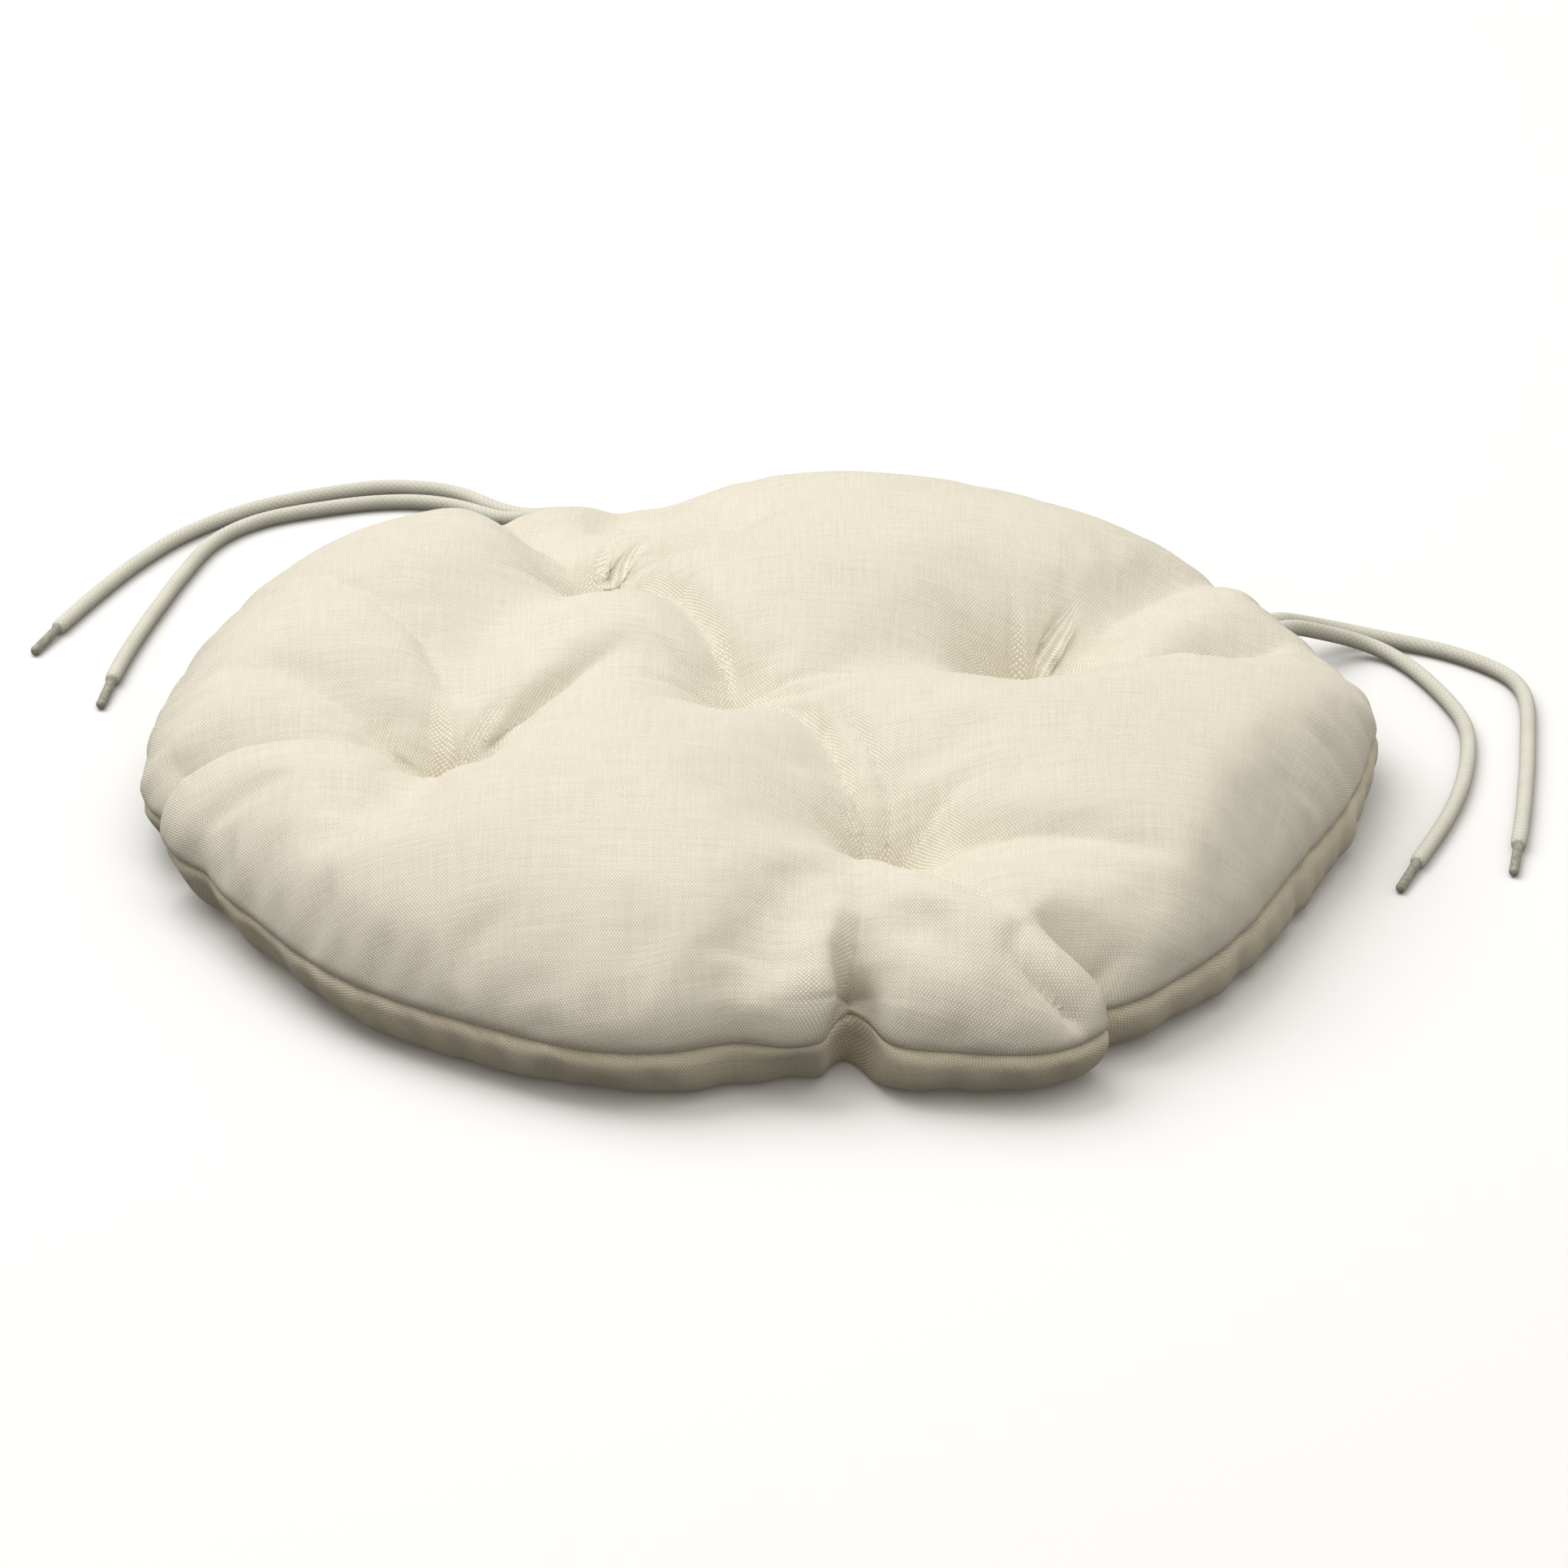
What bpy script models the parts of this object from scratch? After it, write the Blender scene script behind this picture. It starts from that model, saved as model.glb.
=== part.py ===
"""Round tufted chair pad with two pairs of sewn-in ties. Metres, +Z up, +Y towards the tied back edge.

The origin is the middle of the underside. Two fabric panels meet at a rim seam, both turned inwards there.
Five threads draw them together through the filling. Each tie is one cord folded at its middle: the fold is
caught in the seam, and the two free ends swing about the place where they leave it.
"""

import math

import bpy
import numpy as np
from mathutils import Vector

# Pad
PAD_RADIUS = 0.172  # at the rim seam
CROWN_HEIGHT = 0.052
SEAM_HEIGHT = 0.016
BASE_INSET = 0.022  # from the rim seam in to the flat part of the underside
RIM_FULLNESS = 4.5  # how square the upper edge is across
RIM_ROUNDNESS = 2.2  # how square it is in height
RIM_RINGS = (0.118, 0.062, 0.025, 0.006, 0.0)  # rings near the rim, as shares of the radius in from it
UNDER_RINGS = (25.0, 50.0, 72.0, 90.0)  # rings up the curved side of the underside, in degrees
SHARP_EDGE = 40.0  # degrees
CLOTH = 0.0008
CLEARANCE = 0.0003  # between faces that touch
SEGMENTS = 40

# Rim seam
TURNING = 0.008  # cloth turned inwards at the seam
TURNING_SPLAY = 0.001
SEAM_THREAD = 0.0009
SEAM_THREAD_STEP = 7.5  # degrees
SEAM_INSET = 0.005  # seam thread, in from the rim

# Tufts
TUFT_RING = 0.090
TUFT_SHIFT = -0.0075  # the whole pattern, along X from the middle of the pad
TUFT_FIRST = 45.0  # degrees from +X
TUFT_TOP = 0.030  # floor of the upper dimples
TUFT_BOTTOM = 0.008
TUFT_FLOOR = 0.018  # radius of a dimple's level floor
TUFT_STEP = 0.011  # from a tuft to the rings of points beside it
TOP_DIMPLE = 0.042
BOTTOM_DIMPLE = 0.030
TUFT_THREAD = 0.0016
THREAD_HOLE = 0.0024
THREAD_SIDES = 8
STITCH_WIDTH = 0.0052
STITCH_HEIGHT = 0.0012
KNOT_WIDTH = 0.0060
KNOT_HEIGHT = 0.0028

# Ties
CORD = 0.0047
LEG_GAP = 0.001  # between the two legs of one tie
TIE_ANGLE = 38.0  # degrees each side of +Y
ROOT_REACH = 0.001  # root ends, outside the rim
ROOT_DEPTH = 0.010  # straight part of the legs, inside the rim
SLOT_CLEARANCE = 0.0004
TACK_LENGTH = 0.018
TACK_WIDTH = 0.0025
TACK_HEIGHT = 0.0018
POCKET_CLEARANCE = 0.0005
CORD_STEP = 0.010
ROUTE_SAMPLES = 24  # between two points of a route, where its length is measured
FOLD_STEP = 30.0  # degrees, round the folded middle of a tie
NECK = 0.003  # where a cord's end narrows to its tip
NECK_SHARE = 0.68
TIP = 0.0029
TIP_LENGTH = 0.016
FLOOR_GAP = 0.0001

# Routes of the free ends, in millimetres, from just after the seam to the tip
ROUTES = {
    "left_outer": [
        (-110.6, 146.5, 15.6), (-115.8, 152.6, 13.6), (-121.8, 158.3, 10.4), (-128.5, 163.3, 7.0),
        (-136.0, 168.0, 4.2), (-143.8, 172.0, 2.8), (-151.2, 175.7, 2.4), (-158.0, 178.9, 2.4),
        (-164.5, 180.5, 2.4), (-175.0, 180.1, 2.4), (-183.5, 177.8, 2.4), (-192.0, 172.9, 2.4),
        (-200.0, 166.4, 2.4), (-208.8, 158.2, 2.4), (-216.4, 149.2, 2.4), (-222.0, 140.5, 2.4),
        (-227.0, 130.0, 2.4), (-231.0, 118.5, 2.4), (-233.6, 106.5, 2.4), (-235.4, 94.5, 2.4),
        (-236.6, 82.5, 2.4), (-237.4, 71.0, 2.4), (-238.0, 60.0, 2.4), (-238.5, 49.0, 2.4),
    ],
    "left_inner": [
        (-115.0, 142.8, 15.6), (-120.3, 148.6, 13.6), (-126.3, 154.0, 10.4), (-133.0, 158.9, 7.0),
        (-140.2, 163.4, 4.2), (-147.3, 167.2, 2.8), (-154.1, 169.9, 2.4), (-161.5, 171.0, 2.4),
        (-171.0, 170.2, 2.4), (-179.5, 167.2, 2.4), (-187.9, 162.4, 2.4), (-195.6, 156.6, 2.4),
        (-202.7, 150.6, 2.4), (-209.0, 144.2, 2.4), (-214.0, 136.5, 2.4), (-217.4, 127.5, 2.4),
        (-218.9, 117.5, 2.4), (-218.8, 107.5, 2.4), (-218.2, 97.5, 2.4), (-217.5, 87.5, 2.4),
        (-216.5, 77.5, 2.4), (-215.2, 64.5, 2.4), (-213.6, 51.0, 2.4), (-211.8, 38.0, 2.4),
        (-208.8, 21.0, 2.4),
    ],
    "right_outer": [
        (109.6, 146.0, 15.2), (112.3, 151.8, 12.9), (115.6, 157.3, 10.2), (119.6, 161.9, 7.8),
        (124.6, 165.4, 5.8), (130.8, 167.8, 4.2), (138.2, 169.2, 3.0), (147.3, 169.2, 2.4),
        (157.5, 167.2, 2.4), (166.0, 164.0, 2.4), (173.5, 160.0, 2.4), (179.6, 154.8, 2.4),
        (184.3, 147.8, 2.4), (187.8, 139.0, 2.4), (190.5, 129.5, 2.4), (193.0, 119.5, 2.4),
        (195.6, 109.0, 2.4), (198.1, 98.5, 2.4), (200.5, 87.5, 2.4), (202.8, 77.0, 2.4),
        (204.9, 66.5, 2.4), (206.6, 57.5, 2.4), (208.0, 49.5, 2.4),
    ],
    "right_inner": [
        (114.4, 142.2, 15.2), (118.0, 147.8, 12.9), (121.4, 152.4, 10.4), (125.2, 156.6, 8.0),
        (129.6, 159.8, 5.8), (134.6, 161.2, 4.0), (139.6, 160.2, 3.0), (145.0, 156.9, 2.5),
        (150.4, 152.2, 2.4), (155.6, 146.6, 2.4), (160.8, 140.4, 2.4), (165.8, 133.8, 2.4),
        (170.4, 127.0, 2.4), (174.2, 119.8, 2.4), (177.0, 112.4, 2.4), (179.2, 104.4, 2.4),
        (181.0, 96.0, 2.4), (182.5, 87.4, 2.4), (183.6, 78.6, 2.4), (184.3, 69.6, 2.4),
        (184.6, 60.4, 2.4), (184.6, 51.0, 2.4), (184.3, 42.0, 2.4), (183.8, 29.5, 2.4),
    ],
}

CREAM = (0.80, 0.75, 0.63)
CREAM_SHADE = (0.74, 0.69, 0.57)
THREAD_CREAM = (0.84, 0.80, 0.70)
FIBRE_WHITE = (0.90, 0.90, 0.88)
CORD_GREY = (0.56, 0.54, 0.46)
TIP_GREY = (0.30, 0.29, 0.23)

BASE_RADIUS = PAD_RADIUS - BASE_INSET
LEG_SPACING = CORD + LEG_GAP
ROOT_END = PAD_RADIUS + ROOT_REACH
PANEL_GAP = CLEARANCE / 2  # each panel's turning, from the middle of the seam


def remove_scene_objects():
    for item in list(bpy.data.objects):
        bpy.data.objects.remove(item, do_unlink=True)


def make_material(name, colour, roughness):
    material = bpy.data.materials.new(name)
    material.use_nodes = True
    shader = material.node_tree.nodes["Principled BSDF"]
    shader.inputs["Base Color"].default_value = (*colour, 1.0)
    shader.inputs["Roughness"].default_value = roughness
    shader.inputs["Metallic"].default_value = 0.0
    return material


def add_object(name, data, material):
    item = bpy.data.objects.new(name, data)
    bpy.context.scene.collection.objects.link(item)
    if material:
        data.materials.append(material)
    return item


def add_mesh(name, points, faces, material=None, smooth=True):
    mesh = bpy.data.meshes.new(name)
    mesh.from_pydata([tuple(p) for p in points], [], faces)
    mesh.validate()
    mesh.update()
    if smooth:
        mesh.shade_smooth()
        mesh.set_sharp_from_angle(angle=math.radians(SHARP_EDGE))
    return add_object(name, mesh, material)


def tube(name, points, width, material, shares=None, resolution=2):
    """A round tube along the points; shares scale its width at each point."""
    curve = bpy.data.curves.new(name, "CURVE")
    curve.dimensions = "3D"
    curve.bevel_depth = width / 2
    curve.bevel_resolution = resolution
    curve.use_fill_caps = True
    spline = curve.splines.new("POLY")
    spline.points.add(len(points) - 1)
    for index, point in enumerate(points):
        spline.points[index].co = (*point, 1.0)
        spline.points[index].radius = 1.0 if shares is None else shares[index]
    spline.use_smooth = True
    return add_object(name, curve, material)


def tuft_places():
    """The middle tuft, then the four on the ring, counter-clockwise from the back right."""
    places = {"centre": (TUFT_SHIFT, 0.0)}
    for turn, name in enumerate(("back_right", "back_left", "front_left", "front_right")):
        angle = math.radians(TUFT_FIRST + 90.0 * turn)
        places[name] = (TUFT_SHIFT + TUFT_RING * math.cos(angle), TUFT_RING * math.sin(angle))
    return places


def dimple(x, y, reach):
    """1 on a tuft's level floor, falling along a half cosine to 0 at its reach."""
    share = np.zeros_like(x)
    for tuft_x, tuft_y in tuft_places().values():
        distance = np.hypot(x - tuft_x, y - tuft_y)
        fall = np.clip((distance - TUFT_FLOOR) / (reach - TUFT_FLOOR), 0.0, 1.0)
        share = np.maximum(share, 0.5 + 0.5 * np.cos(math.pi * fall))
    return share


def inner_rings():
    """Radii of the rings that a panel and the filling share, so that they stay parallel."""
    beside = [TUFT_RING - TUFT_STEP, TUFT_RING, TUFT_RING + TUFT_STEP]
    between = (BOTTOM_DIMPLE + TUFT_RING - TUFT_STEP) / 2
    return [TUFT_STEP, BOTTOM_DIMPLE, between, *beside, TUFT_RING + TOP_DIMPLE]


def swept(radius, height):
    """A ring profile carried round the Z axis, as points[ring, segment, xyz], the rings among the tufts moved
    along X with them."""
    radius = np.asarray(radius)
    outermost = TUFT_RING + TUFT_STEP
    follow = np.clip((BASE_RADIUS - radius) / (BASE_RADIUS - outermost), 0.0, 1.0)
    turn = np.arange(SEGMENTS) * 2.0 * math.pi / SEGMENTS
    x = np.outer(radius, np.cos(turn)) + TUFT_SHIFT * follow[:, None]
    y = np.outer(radius, np.sin(turn))
    z = np.repeat(np.asarray(height)[:, None], SEGMENTS, axis=1)
    return np.stack([x, y, z], axis=2)


def top_surface():
    """Outer face of the top panel: a superellipse across, less the dimples."""
    rim = PAD_RADIUS * (1.0 - np.array(RIM_RINGS))
    radius = np.array([0.0, *inner_rings(), *rim])
    rise = CROWN_HEIGHT - SEAM_HEIGHT - PANEL_GAP
    share = np.clip(1.0 - (radius / PAD_RADIUS) ** RIM_FULLNESS, 0.0, 1.0)
    points = swept(radius, SEAM_HEIGHT + PANEL_GAP + rise * share ** (1.0 / RIM_ROUNDNESS))
    sink = dimple(points[:, :, 0], points[:, :, 1], TOP_DIMPLE)
    points[:, :, 2] -= (CROWN_HEIGHT - TUFT_TOP) * sink
    return points


def bottom_surface():
    """Outer face of the bottom panel: flat, then a quarter ellipse up to the seam."""
    turn = np.radians(UNDER_RINGS)
    side_radius = BASE_RADIUS + (PAD_RADIUS - BASE_RADIUS) * np.sin(turn)
    side_height = (SEAM_HEIGHT - PANEL_GAP) * (1.0 - np.cos(turn))
    flat = [0.0, *inner_rings(), BASE_RADIUS]
    points = swept([*flat, *side_radius], [0.0] * len(flat) + list(side_height))
    points[:, :, 2] += TUFT_BOTTOM * dimple(points[:, :, 0], points[:, :, 1], BOTTOM_DIMPLE)
    return points


def inward(points, distance, side):
    """The surface moved into the pad along its own normals; side is 1 for the top panel."""
    across = np.empty_like(points)
    across[1:-1] = points[2:] - points[:-2]
    across[0] = points[1] - points[0]
    across[-1] = points[-1] - points[-2]
    around = np.roll(points, -1, axis=1) - np.roll(points, 1, axis=1)
    normal = np.cross(across, around)
    normal[0] = (0.0, 0.0, 1.0)
    normal /= np.linalg.norm(normal, axis=2, keepdims=True)
    normal *= np.sign(normal[:, :, 2:3] + 1e-9)
    moved = points - side * distance * normal
    moved[-1, :, :2] = points[-1, :, :2] * (1.0 - distance / PAD_RADIUS)
    moved[-1, :, 2] = points[-1, :, 2]
    return moved


def turning(points, side, lift):
    """The panel's turned edge: its last ring, carried inwards at the seam."""
    edge = points[-1]
    height = SEAM_HEIGHT + side * (PANEL_GAP + TURNING_SPLAY + lift)
    ring = edge * (1.0 - TURNING / PAD_RADIUS)
    ring[:, 2] = height
    return ring


def ring_faces(rows, turn_row):
    """Triangles between rings. From turn_row on, the rings lead back inwards, and the diagonal changes over,
    so that two surfaces on the same grid stay parallel."""
    faces = []
    for row in range(rows - 1):
        upper = row * SEGMENTS
        lower = upper + SEGMENTS
        for k in range(SEGMENTS):
            n = (k + 1) % SEGMENTS
            if row < turn_row:
                faces.append((upper + k, lower + k, lower + n))
                faces.append((upper + k, lower + n, upper + n))
            else:
                faces.append((upper + k, lower + k, upper + n))
                faces.append((lower + k, lower + n, upper + n))
    return faces


def closed_skin(name, rings, turn_row, material, flip):
    """A solid of rings. The first and the last have no width, and each is merged to one point."""
    points = [rings[0][0]]
    for ring in rings[1:-1]:
        points.extend(ring)
    points.append(rings[-1][0])
    last = len(points) - 1
    faces = []
    for k in range(SEGMENTS):
        n = (k + 1) % SEGMENTS
        faces.append((0, 1 + k, 1 + n))
        faces.append((last, last - SEGMENTS + n, last - SEGMENTS + k))
    for face in ring_faces(len(rings) - 2, turn_row):
        faces.append(tuple(corner + 1 for corner in face))
    if flip:
        faces = [face[::-1] for face in faces]
    return add_mesh(name, points, faces, material)


def panel(name, outer, side, material):
    """One cloth panel: its outer face, the turned edge and the inner face CLOTH away."""
    inner = inward(outer, CLOTH, side)
    inner[-1, :, 2] += side * CLOTH
    rings = [*outer, turning(outer, side, 0.0), turning(outer, side, CLOTH), *inner[::-1]]
    return closed_skin(name, rings, len(outer), material, flip=side < 0)


def make_filling(top, bottom, material):
    """The core: parallel to both panels, with a groove round it for the turned edges."""
    gap = CLOTH + CLEARANCE
    groove = TURNING_SPLAY + CLOTH + 2 * CLEARANCE
    rim = (PAD_RADIUS - gap - CLEARANCE) / PAD_RADIUS
    upper = inward(top, gap, 1)
    upper[-1] = top[-1] * rim
    upper[-1, :, 2] = SEAM_HEIGHT + groove
    lower = inward(bottom, gap, -1)
    lower[-1] = bottom[-1] * rim
    lower[-1, :, 2] = SEAM_HEIGHT - groove
    waist = (PAD_RADIUS - TURNING - 2 * CLEARANCE) / PAD_RADIUS
    upper_waist = top[-1] * waist
    upper_waist[:, 2] = SEAM_HEIGHT + groove
    lower_waist = bottom[-1] * waist
    lower_waist[:, 2] = SEAM_HEIGHT - groove
    rings = [*upper, upper_waist, lower_waist, *lower[::-1]]
    return closed_skin("filling", rings, len(upper), material, flip=False)


def box_shape(centre, size, turn):
    """Corners and faces of a box turned about Z."""
    along = Vector((math.cos(turn), math.sin(turn), 0.0)) * size[0] / 2
    across = Vector((-math.sin(turn), math.cos(turn), 0.0)) * size[1] / 2
    up = Vector((0.0, 0.0, size[2] / 2))
    points = []
    for x in (-1, 1):
        for y in (-1, 1):
            for z in (-1, 1):
                points.append(Vector(centre) + x * along + y * across + z * up)
    faces = [(0, 1, 3, 2), (4, 6, 7, 5), (0, 4, 5, 1), (2, 3, 7, 6), (0, 2, 6, 4), (1, 5, 7, 3)]
    return points, faces


def rod_shape(start, end, radius, sides=12):
    """Corners and faces of a straight round rod."""
    start = Vector(start)
    axis = (Vector(end) - start).normalized()
    across = axis.orthogonal().normalized()
    beside = axis.cross(across)
    points = []
    for base in (start, Vector(end)):
        for k in range(sides):
            turn = 2.0 * math.pi * k / sides
            points.append(base + radius * (math.cos(turn) * across + math.sin(turn) * beside))
    faces = [tuple(range(sides))[::-1], tuple(range(sides, 2 * sides))]
    for k in range(sides):
        n = (k + 1) % sides
        faces.append((k, n, sides + n, sides + k))
    return points, faces


def cut(target, name, shapes):
    """Takes the shapes out of the target with one hidden cutter."""
    points = []
    faces = []
    for shape_points, shape_faces in shapes:
        offset = len(points)
        points.extend(shape_points)
        faces.extend(tuple(offset + corner for corner in face) for face in shape_faces)
    cutter = add_mesh(name, points, faces, smooth=False)
    cutter.hide_render = True
    cutter.display_type = "WIRE"
    modifier = target.modifiers.new(name, "BOOLEAN")
    modifier.operation = "DIFFERENCE"
    modifier.solver = "EXACT"
    modifier.object = cutter


def tie_frame(side):
    """Outward and sideways directions of a tie; side is -1 left, 1 right. Sideways points to the back."""
    angle = math.radians(90.0 - side * TIE_ANGLE)
    outward = Vector((math.cos(angle), math.sin(angle), 0.0))
    sideways = Vector((-side * math.sin(angle), side * math.cos(angle), 0.0))
    return angle, outward, sideways


def leg_place(side, leg, radius):
    """A point on a tie's leg; leg is 1 for the outer one, nearer the back, and -1 for the inner one."""
    _, outward, sideways = tie_frame(side)
    return radius * outward + 0.5 * leg * LEG_SPACING * sideways + Vector((0, 0, SEAM_HEIGHT))


def tack_base():
    """Underside of the bar tacks, which rest on the upper turning."""
    share = (SEAM_INSET + TACK_WIDTH / 2) / TURNING
    return SEAM_HEIGHT + PANEL_GAP + TURNING_SPLAY * share + CLOTH + CLEARANCE


def thread_bores(radius):
    top = CROWN_HEIGHT + CLOTH
    return [rod_shape((x, y, -CLOTH), (x, y, top), radius) for x, y in tuft_places().values()]


def tie_slots():
    """The openings in the seam that the two legs of each tie pass through."""
    wide = LEG_SPACING + CORD + 2 * SLOT_CLEARANCE
    high = CORD + 2 * SLOT_CLEARANCE
    start = PAD_RADIUS - TURNING - 2 * CLOTH
    end = ROOT_END + CORD
    shapes = []
    for side in (-1, 1):
        angle, outward, _ = tie_frame(side)
        centre = outward * (start + end) / 2 + Vector((0, 0, SEAM_HEIGHT))
        shapes.append(box_shape(centre, (end - start, wide, high), angle))
    return shapes


def root_pockets():
    """Room in the filling for each fold and its bar tack."""
    start = PAD_RADIUS - ROOT_DEPTH - (LEG_SPACING + CORD) / 2 - POCKET_CLEARANCE
    end = ROOT_END + CORD
    low = SEAM_HEIGHT - CORD / 2 - POCKET_CLEARANCE
    high = tack_base() + TACK_HEIGHT + POCKET_CLEARANCE
    wide = max(LEG_SPACING + CORD, TACK_LENGTH) + 2 * POCKET_CLEARANCE
    shapes = []
    for side in (-1, 1):
        angle, outward, _ = tie_frame(side)
        centre = outward * (start + end) / 2 + Vector((0, 0, (low + high) / 2))
        shapes.append(box_shape(centre, (end - start, wide, high - low), angle))
    return shapes


def make_tuft_thread(name, place, material):
    """A strand through the pad with a flat stitch above and a round knot below, turned about its axis."""
    strand = TUFT_THREAD / 2
    under = TUFT_BOTTOM - CLEARANCE
    over = TUFT_TOP + CLEARANCE
    profile = [(0.0, under - KNOT_HEIGHT)]
    for turn in (35.0, 70.0):
        angle = math.radians(turn)
        profile.append((KNOT_WIDTH / 2 * math.sin(angle), under - KNOT_HEIGHT * math.cos(angle)))
    profile += [(KNOT_WIDTH / 2, under), (strand, under), (strand, over), (STITCH_WIDTH / 2, over)]
    for turn in (30.0, 65.0):
        angle = math.radians(turn)
        profile.append((STITCH_WIDTH / 2 * math.cos(angle), over + STITCH_HEIGHT * math.sin(angle)))
    profile.append((0.0, over + STITCH_HEIGHT))
    sides = THREAD_SIDES
    points = [(0.0, 0.0, profile[0][1])]
    for radius, height in profile[1:-1]:
        for k in range(sides):
            turn = 2.0 * math.pi * k / sides
            points.append((radius * math.cos(turn), radius * math.sin(turn), height))
    points.append((0.0, 0.0, profile[-1][1]))
    last = len(points) - 1
    faces = []
    for k in range(sides):
        n = (k + 1) % sides
        faces.append((0, 1 + n, 1 + k))
        faces.append((last, last - sides + k, last - sides + n))
        for row in range(len(profile) - 3):
            low = 1 + row * sides
            faces.append((low + k, low + n, low + sides + n, low + sides + k))
    thread = add_mesh("tuft_thread_" + name, points, faces, material)
    thread.location = (place[0], place[1], 0.0)


def make_seam_thread(name, first, last, material):
    """An arc of sewing thread between the turned edges, from one tie to the other."""
    radius = PAD_RADIUS - SEAM_INSET
    steps = max(3, round(abs(last - first) / SEAM_THREAD_STEP))
    points = []
    for k in range(steps + 1):
        angle = math.radians(first + (last - first) * k / steps)
        points.append((radius * math.cos(angle), radius * math.sin(angle), SEAM_HEIGHT))
    tube(name, points, SEAM_THREAD, material, resolution=0)


def make_root(name, side, material):
    """The folded middle of a tie: two legs through the seam and a half turn behind it."""
    _, outward, sideways = tie_frame(side)
    inner = PAD_RADIUS - ROOT_DEPTH
    points = [leg_place(side, 1, ROOT_END), leg_place(side, 1, inner)]
    middle = outward * inner + Vector((0, 0, SEAM_HEIGHT))
    for turn in np.arange(FOLD_STEP, 180.0, FOLD_STEP):
        angle = math.radians(turn)
        points.append(middle + LEG_SPACING / 2 * (math.cos(angle) * sideways - math.sin(angle) * outward))
    points += [leg_place(side, -1, inner), leg_place(side, -1, ROOT_END)]
    tube(name, points, CORD, material)


def make_bar_tack(name, side, material):
    """A dense bar of stitches across both legs, hollowed where it passes over them."""
    angle, outward, _ = tie_frame(side)
    radius = PAD_RADIUS - SEAM_INSET
    centre = outward * radius + Vector((0, 0, tack_base() + TACK_HEIGHT / 2))
    points, faces = box_shape(centre, (TACK_WIDTH, TACK_LENGTH, TACK_HEIGHT), angle)
    tack = add_mesh(name, points, faces, material, smooth=False)
    legs = []
    for leg in (1, -1):
        start = leg_place(side, leg, radius - TACK_WIDTH)
        end = leg_place(side, leg, radius + TACK_WIDTH)
        legs.append(rod_shape(start, end, CORD / 2 + CLEARANCE, sides=16))
    cut(tack, name + "_cutter", legs)


def smooth_route(points, step):
    """Points a step apart on the natural cubic spline through the given points."""
    knots = np.array(points, dtype=float)
    chord = np.linalg.norm(np.diff(knots, axis=0), axis=1)
    place = np.concatenate([[0.0], np.cumsum(chord)])
    count = len(knots)
    matrix = np.eye(count)
    right = np.zeros((count, 3))
    slope = np.diff(knots, axis=0) / chord[:, None]
    for k in range(1, count - 1):
        matrix[k, k - 1 : k + 2] = (chord[k - 1], 2.0 * (chord[k - 1] + chord[k]), chord[k])
        right[k] = 6.0 * (slope[k] - slope[k - 1])
    bend = np.linalg.solve(matrix, right)
    fine = []
    for k in range(count - 1):
        for t in np.linspace(0.0, chord[k], ROUTE_SAMPLES, endpoint=False):
            ahead = chord[k] - t
            curve = (bend[k] * ahead**3 + bend[k + 1] * t**3) / (6.0 * chord[k])
            line = (knots[k] / chord[k] - bend[k] * chord[k] / 6.0) * ahead
            line = line + (knots[k + 1] / chord[k] - bend[k + 1] * chord[k] / 6.0) * t
            fine.append(curve + line)
    fine.append(knots[-1])
    fine = np.array(fine)
    length = np.concatenate([[0.0], np.cumsum(np.linalg.norm(np.diff(fine, axis=0), axis=1))])
    wanted = np.linspace(0.0, length[-1], max(2, round(length[-1] / step)) + 1)
    return np.stack([np.interp(wanted, length, fine[:, axis]) for axis in range(3)], axis=1), length[-1]


def make_cord(name, side, leg, material, tip_material):
    """A free end: domed where it meets its root, smooth along its route, narrowed at its tip."""
    _, outward, _ = tie_frame(side)
    radius = CORD / 2
    hinge = leg_place(side, leg, ROOT_END + CLEARANCE + radius)
    route = [tuple(hinge)] + [tuple(0.001 * value for value in point) for point in ROUTES[name]]
    points, length = smooth_route(route, CORD_STEP)
    dome = []
    dome_shares = []
    for turn in (6.0, 30.0, 60.0):
        angle = math.radians(turn)
        dome.append(hinge - outward * radius * math.cos(angle))
        dome_shares.append(math.sin(angle))
    heading = Vector(points[-1] - points[-2]).normalized()
    end = Vector(points[-1])
    neck = [end - heading * NECK, end - heading * NECK * 0.4, end]
    path = dome + [Vector(p) for p in points[:-1]] + neck
    shares = dome_shares + [1.0] * (len(points) - 1) + [1.0, 0.9, NECK_SHARE]
    tube("tie_cord_" + name, path, CORD, material, shares)
    flat = Vector((heading.x, heading.y, 0.0)).normalized()
    start = end + flat * CLEARANCE
    low = TIP / 2 + FLOOR_GAP
    finish = Vector((start.x, start.y, low)) + flat * TIP_LENGTH
    run = finish - start
    tip_path = [start, start + run * 0.5]
    tip_shares = [1.0, 1.0]
    for turn in (0.0, 35.0, 65.0, 85.0):
        angle = math.radians(turn)
        tip_path.append(finish - run.normalized() * (TIP / 2) * (1.0 - math.sin(angle)))
        tip_shares.append(math.cos(angle))
    tube("tie_tip_" + name, tip_path, TIP, tip_material, tip_shares)
    print(f"{name}: hinge {tuple(round(v, 5) for v in hinge)}, route {length:.4f} m")


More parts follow.
